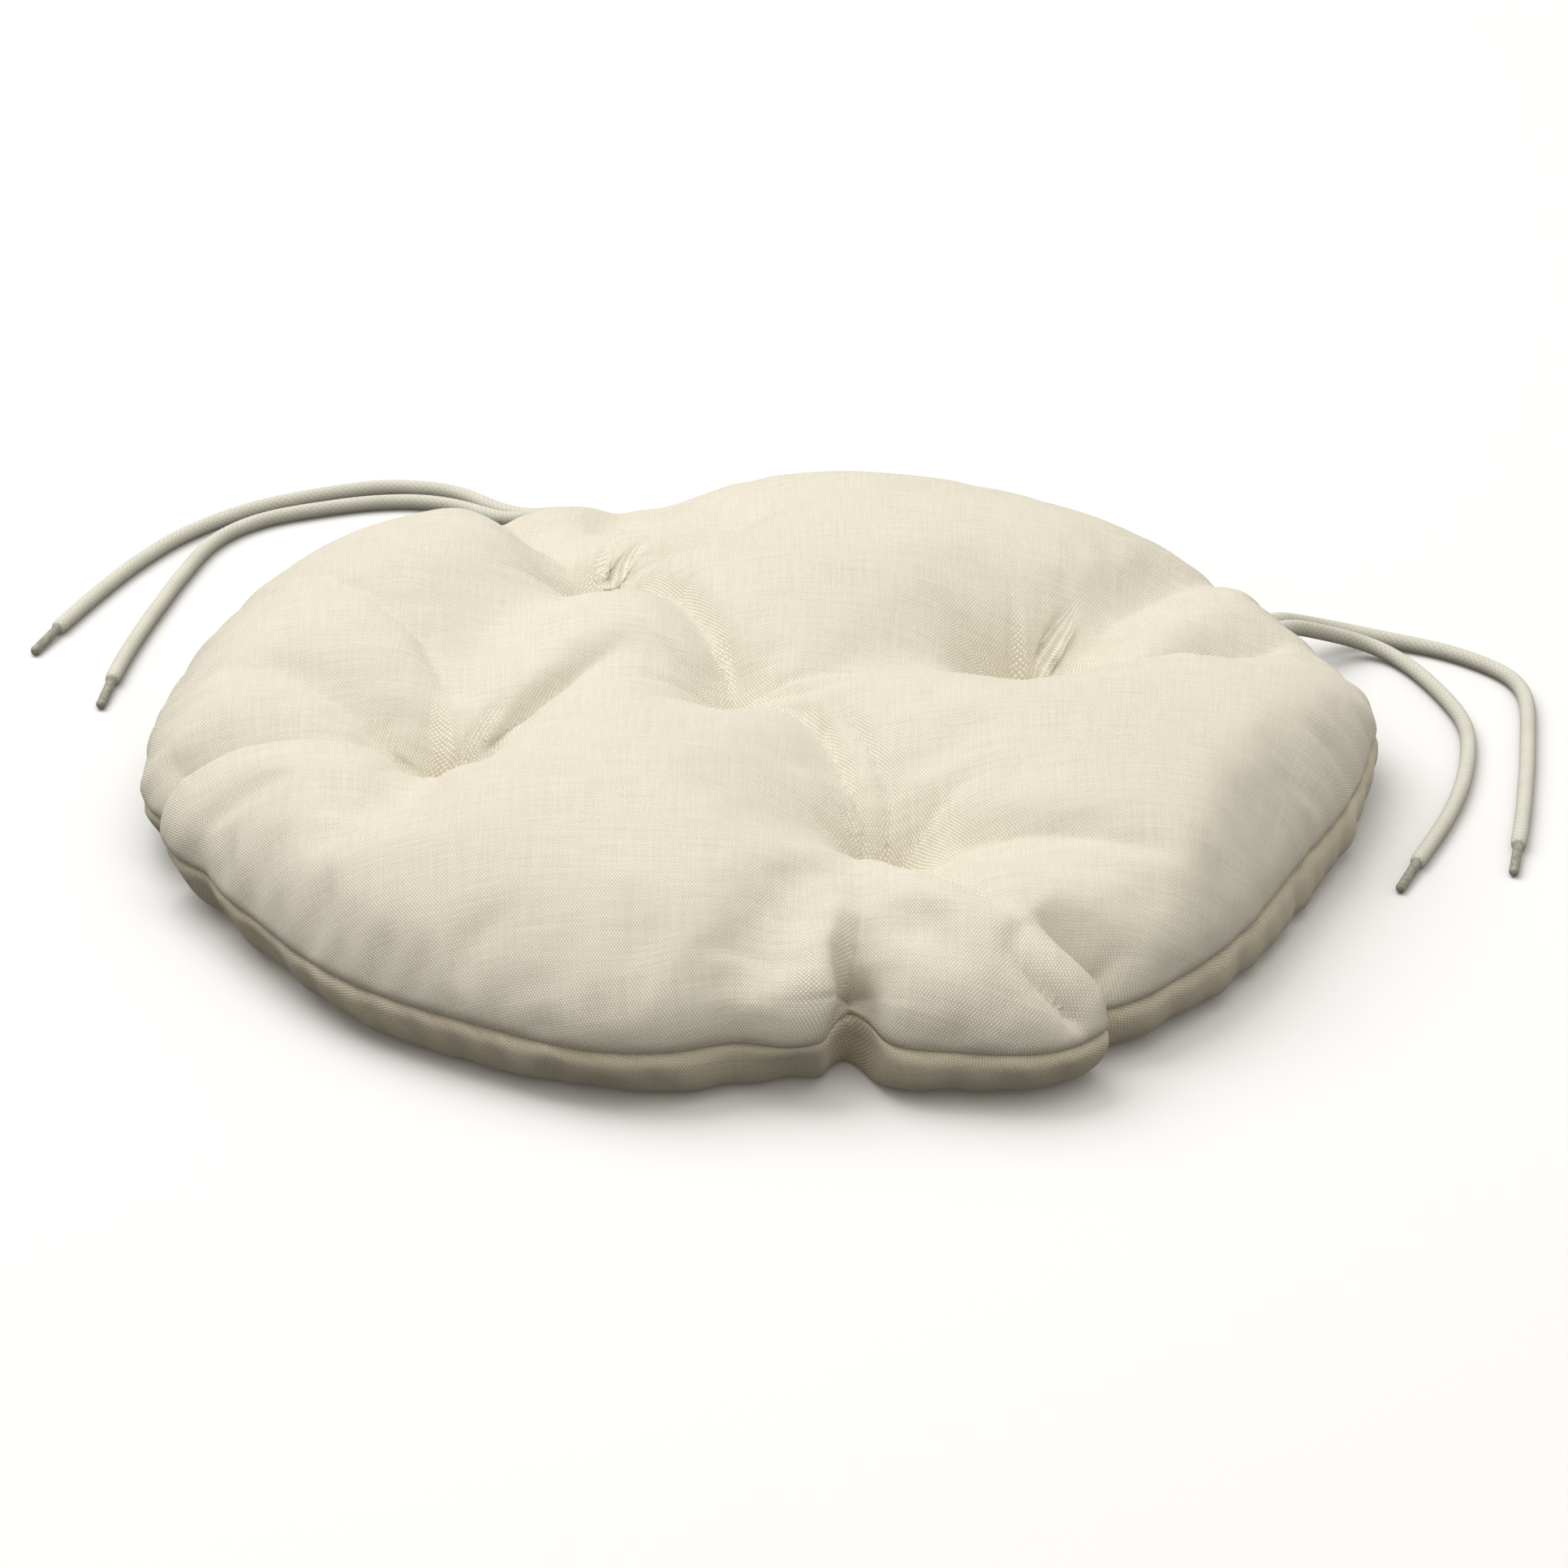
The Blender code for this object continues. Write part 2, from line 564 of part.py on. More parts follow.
def main():
    remove_scene_objects()
    cream = make_material("cream_cotton", CREAM, 0.92)
    cream_shade = make_material("cream_cotton_under", CREAM_SHADE, 0.92)
    thread = make_material("sewing_thread", THREAD_CREAM, 0.75)
    fibre = make_material("polyester_fibre", FIBRE_WHITE, 0.95)
    cord = make_material("grey_beige_braid", CORD_GREY, 0.85)
    tip = make_material("tip_film", TIP_GREY, 0.45)

    top = top_surface()
    bottom = bottom_surface()
    bores = thread_bores(THREAD_HOLE / 2)
    cover_top = panel("cover_top", top, 1, cream)
    cover_bottom = panel("cover_bottom", bottom, -1, cream_shade)
    cut(cover_top, "cover_top_cutter", bores + tie_slots())
    cut(cover_bottom, "cover_bottom_cutter", bores + tie_slots())
    cut(make_filling(top, bottom, fibre), "filling_cutter", bores + root_pockets())

    for name, place in tuft_places().items():
        make_tuft_thread(name, place, thread)

    slot_half = (LEG_SPACING + CORD) / 2 + 2 * SLOT_CLEARANCE + SEAM_THREAD
    margin = math.degrees(slot_half / (PAD_RADIUS - SEAM_INSET))
    make_seam_thread("seam_thread", 90.0 + TIE_ANGLE + margin, 450.0 - TIE_ANGLE - margin, thread)
    make_seam_thread("closing_thread", 90.0 - TIE_ANGLE + margin, 90.0 + TIE_ANGLE - margin, thread)

    for side, word in ((-1, "left"), (1, "right")):
        make_root("tie_root_" + word, side, cord)
        make_bar_tack("bar_tack_" + word, side, thread)
        make_cord(word + "_outer", side, 1, cord, tip)
        make_cord(word + "_inner", side, -1, cord, tip)


main()
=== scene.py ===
import math

import bpy
import numpy as np
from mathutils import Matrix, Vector


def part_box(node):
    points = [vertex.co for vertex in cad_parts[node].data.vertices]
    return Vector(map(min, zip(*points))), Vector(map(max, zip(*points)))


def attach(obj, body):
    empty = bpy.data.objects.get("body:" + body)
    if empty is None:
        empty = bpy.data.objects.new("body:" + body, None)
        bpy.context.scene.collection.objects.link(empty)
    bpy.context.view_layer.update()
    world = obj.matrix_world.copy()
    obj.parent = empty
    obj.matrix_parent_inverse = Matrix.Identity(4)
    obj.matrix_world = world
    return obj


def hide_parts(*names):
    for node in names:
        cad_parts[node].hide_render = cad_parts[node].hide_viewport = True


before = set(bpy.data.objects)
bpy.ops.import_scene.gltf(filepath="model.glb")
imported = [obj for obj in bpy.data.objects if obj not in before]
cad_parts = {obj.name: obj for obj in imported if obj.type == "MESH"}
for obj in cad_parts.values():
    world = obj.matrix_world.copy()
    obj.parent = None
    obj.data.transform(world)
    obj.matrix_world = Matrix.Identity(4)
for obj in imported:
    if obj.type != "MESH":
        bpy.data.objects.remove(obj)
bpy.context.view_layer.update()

coverLow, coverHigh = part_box("cover_top")
padRadius = coverHigh.x
seamHeight = coverLow.z
crownHeight = coverHigh.z


# Camera: looks down at the pad from the front, a little to the right of the ties' mirror plane.
cameraSetup = {
    "aim": (-0.0016, 0.0245, 0.0),
    "azimuth": -71.0,  # degrees, from +X
    "elevation": 26.0,
    "distance": 2.3,
    "lens": 184.57,
    "sensor": 36.0,
}


def direction(azimuth, elevation):
    # unit vector: azimuth turns from +X towards +Y, elevation lifts towards +Z
    a, e = math.radians(azimuth), math.radians(elevation)
    return Vector((math.cos(a) * math.cos(e), math.sin(a) * math.cos(e), math.sin(e)))


def addCamera(setup):
    data = bpy.data.cameras.new("camera")
    data.lens = setup["lens"]
    data.sensor_width = setup["sensor"]
    camera = bpy.data.objects.new("camera", data)
    bpy.context.scene.collection.objects.link(camera)
    towards = direction(setup["azimuth"], setup["elevation"])
    camera.location = Vector(setup["aim"]) + towards * setup["distance"]
    camera.rotation_euler = towards.to_track_quat("Z", "Y").to_euler()
    bpy.context.scene.camera = camera
    return camera


addCamera(cameraSetup)
print("camera placed")


class Wire:
    # one socket; arithmetic on it adds Math nodes
    def __init__(self, finish, socket):
        self.finish = finish
        self.socket = socket

    def __add__(self, other):
        return self.finish.maths("ADD", self, other)

    def __radd__(self, other):
        return self.finish.maths("ADD", other, self)

    def __sub__(self, other):
        return self.finish.maths("SUBTRACT", self, other)

    def __rsub__(self, other):
        return self.finish.maths("SUBTRACT", other, self)

    def __mul__(self, other):
        return self.finish.maths("MULTIPLY", self, other)

    def __rmul__(self, other):
        return self.finish.maths("MULTIPLY", other, self)

    def __truediv__(self, other):
        return self.finish.maths("DIVIDE", self, other)

    def __rtruediv__(self, other):
        return self.finish.maths("DIVIDE", other, self)


class Finish:
    # one material: its Principled shader and the nodes that feed it
    def __init__(self, name, roughness, sheen=0.0, specular=0.3):
        self.material = bpy.data.materials.new(name)
        self.material.use_nodes = True
        self.tree = self.material.node_tree
        self.shader = self.tree.nodes["Principled BSDF"]
        self.shader.inputs["Roughness"].default_value = roughness
        self.shader.inputs["Sheen Weight"].default_value = sheen
        self.shader.inputs["Sheen Roughness"].default_value = 0.6
        self.shader.inputs["Specular IOR Level"].default_value = specular

    def node(self, kind, settings, sockets, output=0):
        made = self.tree.nodes.new(kind)
        for key, value in settings.items():
            setattr(made, key, value)
        for key, value in sockets.items():
            if isinstance(value, Wire):
                self.tree.links.new(value.socket, made.inputs[key])
            else:
                made.inputs[key].default_value = value
        return Wire(self, made.outputs[output])

    def maths(self, operation, *values):
        return self.node("ShaderNodeMath", {"operation": operation}, dict(enumerate(values)))

    def clamp(self, value, low=0.0, high=1.0):
        return self.node("ShaderNodeMapRange", {}, {0: value, 1: low, 2: high, 3: 0.0, 4: 1.0})

    def mix(self, share, first, second, blend="MIX"):
        colours = {6: first, 7: second}
        full = {key: (*c, 1.0) if isinstance(c, tuple) else c for key, c in colours.items()}
        settings = {"data_type": "RGBA", "blend_type": blend}
        return self.node("ShaderNodeMix", settings, {0: share, **full}, output=2)

    def noise(self, place, scale, detail=2.0, roughness=0.5):
        sockets = {"Vector": place, "Scale": scale, "Detail": detail, "Roughness": roughness}
        return self.node("ShaderNodeTexNoise", {}, sockets)

    def map(self, place, scale):
        return self.node("ShaderNodeMapping", {}, {"Vector": place, "Scale": scale})

    def objectPlace(self):
        return self.node("ShaderNodeTexCoord", {}, {}, output="Object")

    def ownMap(self, name):
        place = self.node("ShaderNodeUVMap", {"uv_map": name}, {})
        parts = self.tree.nodes.new("ShaderNodeSeparateXYZ")
        self.tree.links.new(place.socket, parts.inputs[0])
        return place, Wire(self, parts.outputs[0]), Wire(self, parts.outputs[1])

    def colour(self, wire):
        self.tree.links.new(wire.socket, self.shader.inputs["Base Color"])

    def rough(self, wire):
        self.tree.links.new(wire.socket, self.shader.inputs["Roughness"])

    def relief(self, height, depth, strength=1.0):
        bump = self.node("ShaderNodeBump", {}, {"Height": height, "Distance": depth, "Strength": strength})
        self.tree.links.new(bump.socket, self.shader.inputs["Normal"])


def addMesh(name, points, blocks, finish, mapName=None, cornerMap=None):
    # points[n, 3]; blocks are arrays of faces, four- or three-sided, by point number; cornerMap has one uv
    # pair for each face corner, in the blocks' order
    mesh = bpy.data.meshes.new(name)
    sides = np.concatenate([np.full(len(block), block.shape[1]) for block in blocks])
    corners = np.concatenate([block.ravel() for block in blocks])
    mesh.vertices.add(len(points))
    mesh.vertices.foreach_set("co", points.astype(np.float32).ravel())
    mesh.loops.add(len(corners))
    mesh.loops.foreach_set("vertex_index", corners.astype(np.int32))
    mesh.polygons.add(len(sides))
    mesh.polygons.foreach_set("loop_start", (np.cumsum(sides) - sides).astype(np.int32))
    mesh.polygons.foreach_set("use_smooth", np.ones(len(sides), dtype=bool))
    mesh.update(calc_edges=True)
    if mapName:
        mesh.uv_layers.new(name=mapName).uv.foreach_set("vector", cornerMap.astype(np.float32).ravel())
    mesh.materials.append(finish.material)
    piece = bpy.data.objects.new(name, mesh)
    bpy.context.scene.collection.objects.link(piece)
    return piece


# Ties: round braided cord, the same routes as the solids they stand for.
tieSetup = {
    "width": 0.0047,
    "legGap": 0.001,
    "angle": 38.0,  # degrees each side of +Y
    "exitRadius": padRadius + 0.001 + 0.0003 + 0.00235,  # past the root, a gap and half the cord's width
    "reachBack": 0.0022,  # drawn back into the seam, past the exit
    "step": 0.00045,
    "around": 48,
    "strands": 8,  # in each direction
    "strandPitch": 0.0021,  # along the cord, from one crossing to the next
    "strandRelief": 0.00016,
    "neck": 0.003,
    "neckShare": 0.68,
    "tipWidth": 0.0029,
    "tipLength": 0.016,
    "tipGap": 0.0001,
    "tipInside": 0.0006,  # start of a tip, inside the cord's neck
    "least": 0.00005,  # radius at a closed end
}
tieRoutes = {
    "left_outer": [
        (-110.6, 146.5, 15.6), (-115.8, 152.6, 13.6), (-121.8, 158.3, 10.4), (-128.5, 163.3, 7.0),
        (-136.0, 168.0, 4.2), (-143.8, 172.0, 2.8), (-151.2, 175.7, 2.4), (-158.0, 178.9, 2.4),
        (-164.5, 180.5, 2.4), (-175.0, 180.1, 2.4), (-183.5, 177.8, 2.4), (-192.0, 172.9, 2.4),
        (-200.0, 166.4, 2.4), (-208.8, 158.2, 2.4), (-216.4, 149.2, 2.4), (-222.0, 140.5, 2.4),
        (-227.0, 130.0, 2.4), (-231.0, 118.5, 2.4), (-233.6, 106.5, 2.4), (-235.4, 94.5, 2.4),
        (-236.6, 82.5, 2.4), (-237.4, 71.0, 2.4), (-238.0, 60.0, 2.4), (-238.5, 49.0, 2.4),
    ],
    "left_inner": [
        (-115.0, 142.8, 15.6), (-120.3, 148.6, 13.6), (-126.3, 154.0, 10.4), (-133.0, 158.9, 7.0),
        (-140.2, 163.4, 4.2), (-147.3, 167.2, 2.8), (-154.1, 169.9, 2.4), (-161.5, 171.0, 2.4),
        (-171.0, 170.2, 2.4), (-179.5, 167.2, 2.4), (-187.9, 162.4, 2.4), (-195.6, 156.6, 2.4),
        (-202.7, 150.6, 2.4), (-209.0, 144.2, 2.4), (-214.0, 136.5, 2.4), (-217.4, 127.5, 2.4),
        (-218.9, 117.5, 2.4), (-218.8, 107.5, 2.4), (-218.2, 97.5, 2.4), (-217.5, 87.5, 2.4),
        (-216.5, 77.5, 2.4), (-215.2, 64.5, 2.4), (-213.6, 51.0, 2.4), (-211.8, 38.0, 2.4),
        (-208.8, 21.0, 2.4),
    ],
    "right_outer": [
        (109.6, 146.0, 15.2), (112.3, 151.8, 12.9), (115.6, 157.3, 10.2), (119.6, 161.9, 7.8),
        (124.6, 165.4, 5.8), (130.8, 167.8, 4.2), (138.2, 169.2, 3.0), (147.3, 169.2, 2.4),
        (157.5, 167.2, 2.4), (166.0, 164.0, 2.4), (173.5, 160.0, 2.4), (179.6, 154.8, 2.4),
        (184.3, 147.8, 2.4), (187.8, 139.0, 2.4), (190.5, 129.5, 2.4), (193.0, 119.5, 2.4),
        (195.6, 109.0, 2.4), (198.1, 98.5, 2.4), (200.5, 87.5, 2.4), (202.8, 77.0, 2.4),
        (204.9, 66.5, 2.4), (206.6, 57.5, 2.4), (208.0, 49.5, 2.4),
    ],
    "right_inner": [
        (114.4, 142.2, 15.2), (118.0, 147.8, 12.9), (121.4, 152.4, 10.4), (125.2, 156.6, 8.0),
        (129.6, 159.8, 5.8), (134.6, 161.2, 4.0), (139.6, 160.2, 3.0), (145.0, 156.9, 2.5),
        (150.4, 152.2, 2.4), (155.6, 146.6, 2.4), (160.8, 140.4, 2.4), (165.8, 133.8, 2.4),
        (170.4, 127.0, 2.4), (174.2, 119.8, 2.4), (177.0, 112.4, 2.4), (179.2, 104.4, 2.4),
        (181.0, 96.0, 2.4), (182.5, 87.4, 2.4), (183.6, 78.6, 2.4), (184.3, 69.6, 2.4),
        (184.6, 60.4, 2.4), (184.6, 51.0, 2.4), (184.3, 42.0, 2.4), (183.8, 29.5, 2.4),
    ],
}


def lengthAlong(path):
    # distance from the first point to each point, along the path
    return np.concatenate([[0.0], np.cumsum(np.linalg.norm(np.diff(path, axis=0), axis=1))])


def rounded(share):
    # quarter circle: 0 at 0, rising steeply and level by 1
    return np.sqrt(np.clip(1.0 - (1.0 - share) ** 2, 0.0, 1.0))


def smoothRoute(knots, step):
    # natural cubic spline through the knots by chord length, then points at equal steps of arc length
    chord = np.linalg.norm(np.diff(knots, axis=0), axis=1)
    place = np.concatenate([[0.0], np.cumsum(chord)])
    count = len(knots)
    slope = np.diff(knots, axis=0) / chord[:, None]
    matrix = np.eye(count)
    inner = np.arange(1, count - 1)
    matrix[inner, inner - 1] = chord[:-1]
    matrix[inner, inner] = 2.0 * (chord[:-1] + chord[1:])
    matrix[inner, inner + 1] = chord[1:]
    right = np.zeros((count, 3))
    right[1:-1] = 6.0 * np.diff(slope, axis=0)
    bend = np.linalg.solve(matrix, right)
    along = np.linspace(0.0, place[-1], 4000)
    k = np.clip(np.searchsorted(place, along, side="right") - 1, 0, count - 2)
    behind = (along - place[k])[:, None]
    ahead = (place[k + 1] - along)[:, None]
    span = chord[k][:, None]
    curve = (bend[k] * ahead**3 + bend[k + 1] * behind**3) / (6.0 * span)
    curve += (knots[k] / span - bend[k] * span / 6.0) * ahead
    curve += (knots[k + 1] / span - bend[k + 1] * span / 6.0) * behind
    length = lengthAlong(curve)
    wanted = np.linspace(0.0, length[-1], round(length[-1] / step) + 1)
    return np.stack([np.interp(wanted, length, curve[:, axis]) for axis in range(3)], axis=1)


def carriedTube(name, path, radius, finish):
    # ring j is the circle round path point j, in the plane across the path; radius[j, k] is its size at
    # angle k, and both ends close on one point. uv is turns round the tube, and tenths of a metre along it.
    ahead = np.gradient(path, axis=0)
    ahead /= np.linalg.norm(ahead, axis=1, keepdims=True)
    lean = (0.0, 0.0, 1.0) if np.abs(ahead[:, 2]).max() < 0.9 else (0.0, 1.0, 0.0)
    side = np.cross(ahead, lean)
    side /= np.linalg.norm(side, axis=1, keepdims=True)
    up = np.cross(side, ahead)
    rows, around = radius.shape
    turn = np.arange(around) * 2.0 * math.pi / around
    rings = path[:, None, :] + radius[:, :, None] * (
        side[:, None, :] * np.cos(turn)[None, :, None] + up[:, None, :] * np.sin(turn)[None, :, None]
    )
    points = np.concatenate([rings.reshape(-1, 3), path[:1], path[-1:]])
    row, k = np.meshgrid(np.arange(rows - 1), np.arange(around), indexing="ij")
    n = (k + 1) % around
    this, following = row * around, (row + 1) * around
    walls = np.stack([this + k, this + n, following + n, following + k], axis=2).reshape(-1, 4)
    along = lengthAlong(path) * 10.0
    turns = np.stack([k, k + 1, k + 1, k], axis=2) / around
    tenths = np.stack([along[row], along[row], along[row + 1], along[row + 1]], axis=2)
    wallMap = np.stack([turns, tenths], axis=3).reshape(-1, 2)
    k, n = np.arange(around), (np.arange(around) + 1) % around
    start, end = np.full(around, rows * around), np.full(around, rows * around + 1)
    last = (rows - 1) * around
    caps = np.concatenate([np.stack([start, n, k], axis=1), np.stack([end, last + k, last + n], axis=1)])
    startTurns, endTurns = np.stack([k + 0.5, k + 1, k], axis=1), np.stack([k + 0.5, k, k + 1], axis=1)
    capTurns = np.concatenate([startTurns, endTurns]) / around
    capMap = np.stack([capTurns.ravel(), np.repeat([along[0], along[-1]], around * 3)], axis=1)
    cornerMap = np.concatenate([wallMap, capMap])
    return addMesh(name, points, [walls, caps], finish, "tubeMap", cornerMap)


def strandHeight(turns, metres, setup):
    # two families of helical strands; where their crossing squares are even the first lies on top. The
    # height of the strand on top is a half round across it, flattened where it dives at its square's ends.
    one = setup["strands"] * turns + metres / setup["strandPitch"]
    two = setup["strands"] * turns - metres / setup["strandPitch"]
    across, over = np.mod(one, 1.0) - 0.5, np.mod(two, 1.0) - 0.5
    even = np.mod(np.floor(one) + np.floor(two), 2.0) < 0.5
    own = np.where(even, across, over)
    other = np.where(even, over, across)
    return np.sqrt(np.clip(1.0 - 3.2 * own**2, 0.0, 1.0)) * (1.0 - 1.4 * other**2)


braidSetup = {
    "light": (0.69, 0.675, 0.585),
    "dark": (0.44, 0.425, 0.355),
    "tipLight": (0.37, 0.36, 0.30),
    "tipDark": (0.23, 0.22, 0.18),
}


def makeBraidFinish(setup, tie):
    finish = Finish("tieBraid", roughness=0.85, sheen=0.1)
    place, turns, along = finish.ownMap("tubeMap")
    metres = along / 10.0
    one = turns * tie["strands"] + metres / tie["strandPitch"]
    two = turns * tie["strands"] - metres / tie["strandPitch"]
    oneShare, twoShare = finish.maths("FRACT", one), finish.maths("FRACT", two)
    squares = finish.maths("FLOOR", one) + finish.maths("FLOOR", two)
    odd = finish.maths("GREATER_THAN", finish.maths("FLOORED_MODULO", squares, 2.0), 0.5)
    own = oneShare + (twoShare - oneShare) * odd
    edge = finish.maths("ABSOLUTE", own - 0.5) * 2.0
    other = finish.maths("ABSOLUTE", oneShare + twoShare - own - 0.5) * 2.0
    # groove darkens the colour where strands meet and dive under each other: painted shade; the fibre stripes
    # and patches are the braid's own tone
    groove = finish.maths("POWER", edge, 4.0) * 0.8 + finish.maths("POWER", other, 6.0) * 0.4
    fibres = finish.maths("SINE", own * 50.0) * 0.5 + 0.5
    patch = finish.noise(finish.objectPlace(), 90.0, detail=3.0)
    shade = finish.clamp(groove * 0.55 + fibres * 0.16 + (patch - 0.5) * 0.5)
    finish.colour(finish.mix(shade, setup["light"], setup["dark"]))
    finish.relief(1.0 - groove + fibres * 0.15, 0.0001)
    return finish


def makeTipFinish(setup):
    finish = Finish("tieTip", roughness=0.5, specular=0.4)
    place = finish.objectPlace()
    mottle = finish.clamp(finish.noise(place, 700.0, detail=4.0), 0.35, 0.7)
    finish.colour(finish.mix(mottle, setup["tipLight"], setup["tipDark"]))
    finish.rough(0.42 + mottle * 0.25)
    finish.relief(finish.noise(place, 900.0, detail=3.0), 0.00012)
    return finish


def makeTie(side, leg, tie, braid, tipFinish):
    word = "left" if side < 0 else "right"
    name = word + ("_outer" if leg > 0 else "_inner")
    angle = math.radians(90.0 - side * tie["angle"])
    outward = np.array([math.cos(angle), math.sin(angle), 0.0])
    sideways = np.array([-side * math.sin(angle), side * math.cos(angle), 0.0])
    spacing = tie["width"] + tie["legGap"]
    low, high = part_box("tie_root_" + word)
    middle = (low.z + high.z) / 2
    leave = outward * tie["exitRadius"] + sideways * leg * spacing / 2 + np.array([0.0, 0.0, middle])
    knots = np.concatenate([[leave], np.array(tieRoutes[name]) / 1000.0])
    route = smoothRoute(knots, tie["step"])
    back = np.arange(tie["reachBack"], 0.0, -tie["step"])[:, None]
    path = np.concatenate([leave - outward * back, route])
    along = lengthAlong(path)
    turns = np.arange(tie["around"]) / tie["around"]
    relief = strandHeight(turns[None, :], along[:, None], tie)
    # width: domed at the start, round shoulder at the neck
    half = tie["width"] / 2
    dome = rounded(np.clip(along / half, 0.0, 1.0))
    toEnd = np.clip((along[-1] - along) / tie["neck"], 0.0, 1.0)
    share = dome * (tie["neckShare"] + (1.0 - tie["neckShare"]) * rounded(toEnd))
    radius = np.maximum(share[:, None] * (half - tie["strandRelief"] * (1.0 - relief)), tie["least"])
    cord = carriedTube("cord_" + name, path, radius, braid)
    tip = makeTip(name, path, tie, tipFinish)
    for piece, node, slot in ((cord, "tie_cord_", "tie_braid"), (tip, "tie_tip_", "tie_tip")):
        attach(piece, word + "_tie")
        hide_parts(node + name)


def makeTip(name, path, tie, finish):
    # a tube from inside the cord's neck to a round end, a little uneven where the film has shrunk on
    ahead = path[-1] - path[-3]
    ahead[2] = 0.0
    ahead /= np.linalg.norm(ahead)
    half = tie["tipWidth"] / 2
    start = path[-1] - ahead * tie["tipInside"]
    end = path[-1] + ahead * tie["tipLength"]
    end[2] = half + tie["tipGap"]
    length = np.linalg.norm(end - start)
    roundEnd = 1.0 - half / length * (1.0 - np.sin(np.linspace(0.1, 1.5, 10)))
    share = np.concatenate([np.linspace(0.0, 1.0 - half / length, 34), roundEnd])
    line = start + share[:, None] * (end - start)
    dome = rounded(np.clip((1.0 - share) * length / half, 0.0, 1.0))
    turn = np.arange(28) * 2.0 * math.pi / 28
    along = share[:, None] * length
    uneven = 0.022 * np.sin(along * 2600.0 + 2.0 * turn) + 0.02 * np.sin(along * 900.0 - 3.0 * turn + 1.0)
    flare = 1.0 + 0.05 * np.exp(-(along / 0.0015) ** 2)
    radius = np.maximum(half * dome[:, None] * flare * (0.975 + uneven), tie["least"])
    return carriedTube("tip_" + name, line, np.minimum(radius, half * 1.06), finish)


braid = makeBraidFinish(braidSetup, tieSetup)
tipFinish = makeTipFinish(braidSetup)
for side in (-1, 1):
    for leg in (1, -1):
        makeTie(side, leg, tieSetup, braid, tipFinish)
print("ties made")


# Cushion cover. Places on the cloth are flat-cut ones: an azimuth and a distance from the middle, measured
# along the cloth.
coverSetup = {
    "cells": 256,  # across the grid of each panel
    "rimFullness": 4.5,
    "rimRoundness": 2.2,
    "underFlat": 0.160,
    "seamRound": 0.0032,  # cloth that curves into the seam
    "seamDepth": 0.0016,
    "hem": 0.004,
    "cloth": 0.0008,
    "weaveAngle": 109.0,  # warp threads, degrees from +X
    "crease": 0.0016,  # depth of the creases that run out of a pit
    "creaseRing": 0.015,  # where they are deepest, from the tuft
    "creaseWidth": 0.012,
    "pucker": 0.0005,  # gathers above the seam
    "underPucker": 0.0007,
    "rimReach": 0.030,  # from the seam in to where the gathers end
    "drawReach": 0.055,  # from the seam in to where the underside stops following it
    "dimpleDepth": 0.008,  # underside's hollow at each tuft
    "dimpleWidth": 0.016,
}
# tufts: place, how far the cloth is drawn down, then the widths of its pit and of the hollow round it
tufts = {
    "centre": (-0.0090, 0.0006, 0.0230, 0.010, 0.032),
    "back_right": (0.0590, 0.0580, 0.0350, 0.012, 0.036),
    "back_left": (-0.0760, 0.0640, 0.0240, 0.010, 0.034),
    "front_left": (-0.0725, -0.0570, 0.0255, 0.010, 0.034),
    "front_right": (0.0580, -0.0650, 0.0350, 0.011, 0.034),
}
pitShare = 0.55  # of a tuft's depth, in its pit; the rest is in the hollow
# pillows between the tufts that stand higher or lower than the crown: place, half width, lift
pillows = [
    (-0.122, 0.030, 0.045, 0.0060), (-0.020, -0.105, 0.055, 0.0050), (0.112, -0.015, 0.050, 0.0030),
    (-0.088, 0.118, 0.028, -0.0120), (-0.078, 0.132, 0.024, -0.0120), (-0.035, 0.020, 0.030, 0.0030),
    (0.132, 0.096, 0.032, -0.0150), (0.085, 0.135, 0.030, -0.0050), (-0.140, 0.078, 0.032, 0.0020),
    (0.095, -0.120, 0.030, 0.0030), (0.015, 0.085, 0.040, 0.0040),
]
# seam: how far in or out of round it runs, as (azimuth, half width in degrees, metres outwards)
seamRuns = [
    (-46.0, 9.0, 0.0160), (-64.0, 3.5, -0.0060), (-73.0, 4.5, -0.0060), (-86.0, 8.0, 0.0040),
    (-4.0, 19.0, -0.0120), (29.0, 8.0, 0.0045), (-128.0, 12.0, -0.0055), (-137.0, 3.0, -0.0030),
    (-152.0, 6.0, 0.0020), (160.0, 18.0, 0.0035), (119.0, 8.0, -0.0070),
]
# the same below the seam, where the underside's cloth bulges or is drawn in
underRuns = [
    (-148.0, 14.0, -0.0045), (-122.0, 12.0, -0.0025), (-68.0, 4.0, -0.0060), (-5.0, 28.0, 0.0030),
    (-96.0, 5.0, 0.0012), (-56.0, 5.0, 0.0015), (-77.0, 4.0, 0.0012), (-110.0, 5.0, 0.0012),
]
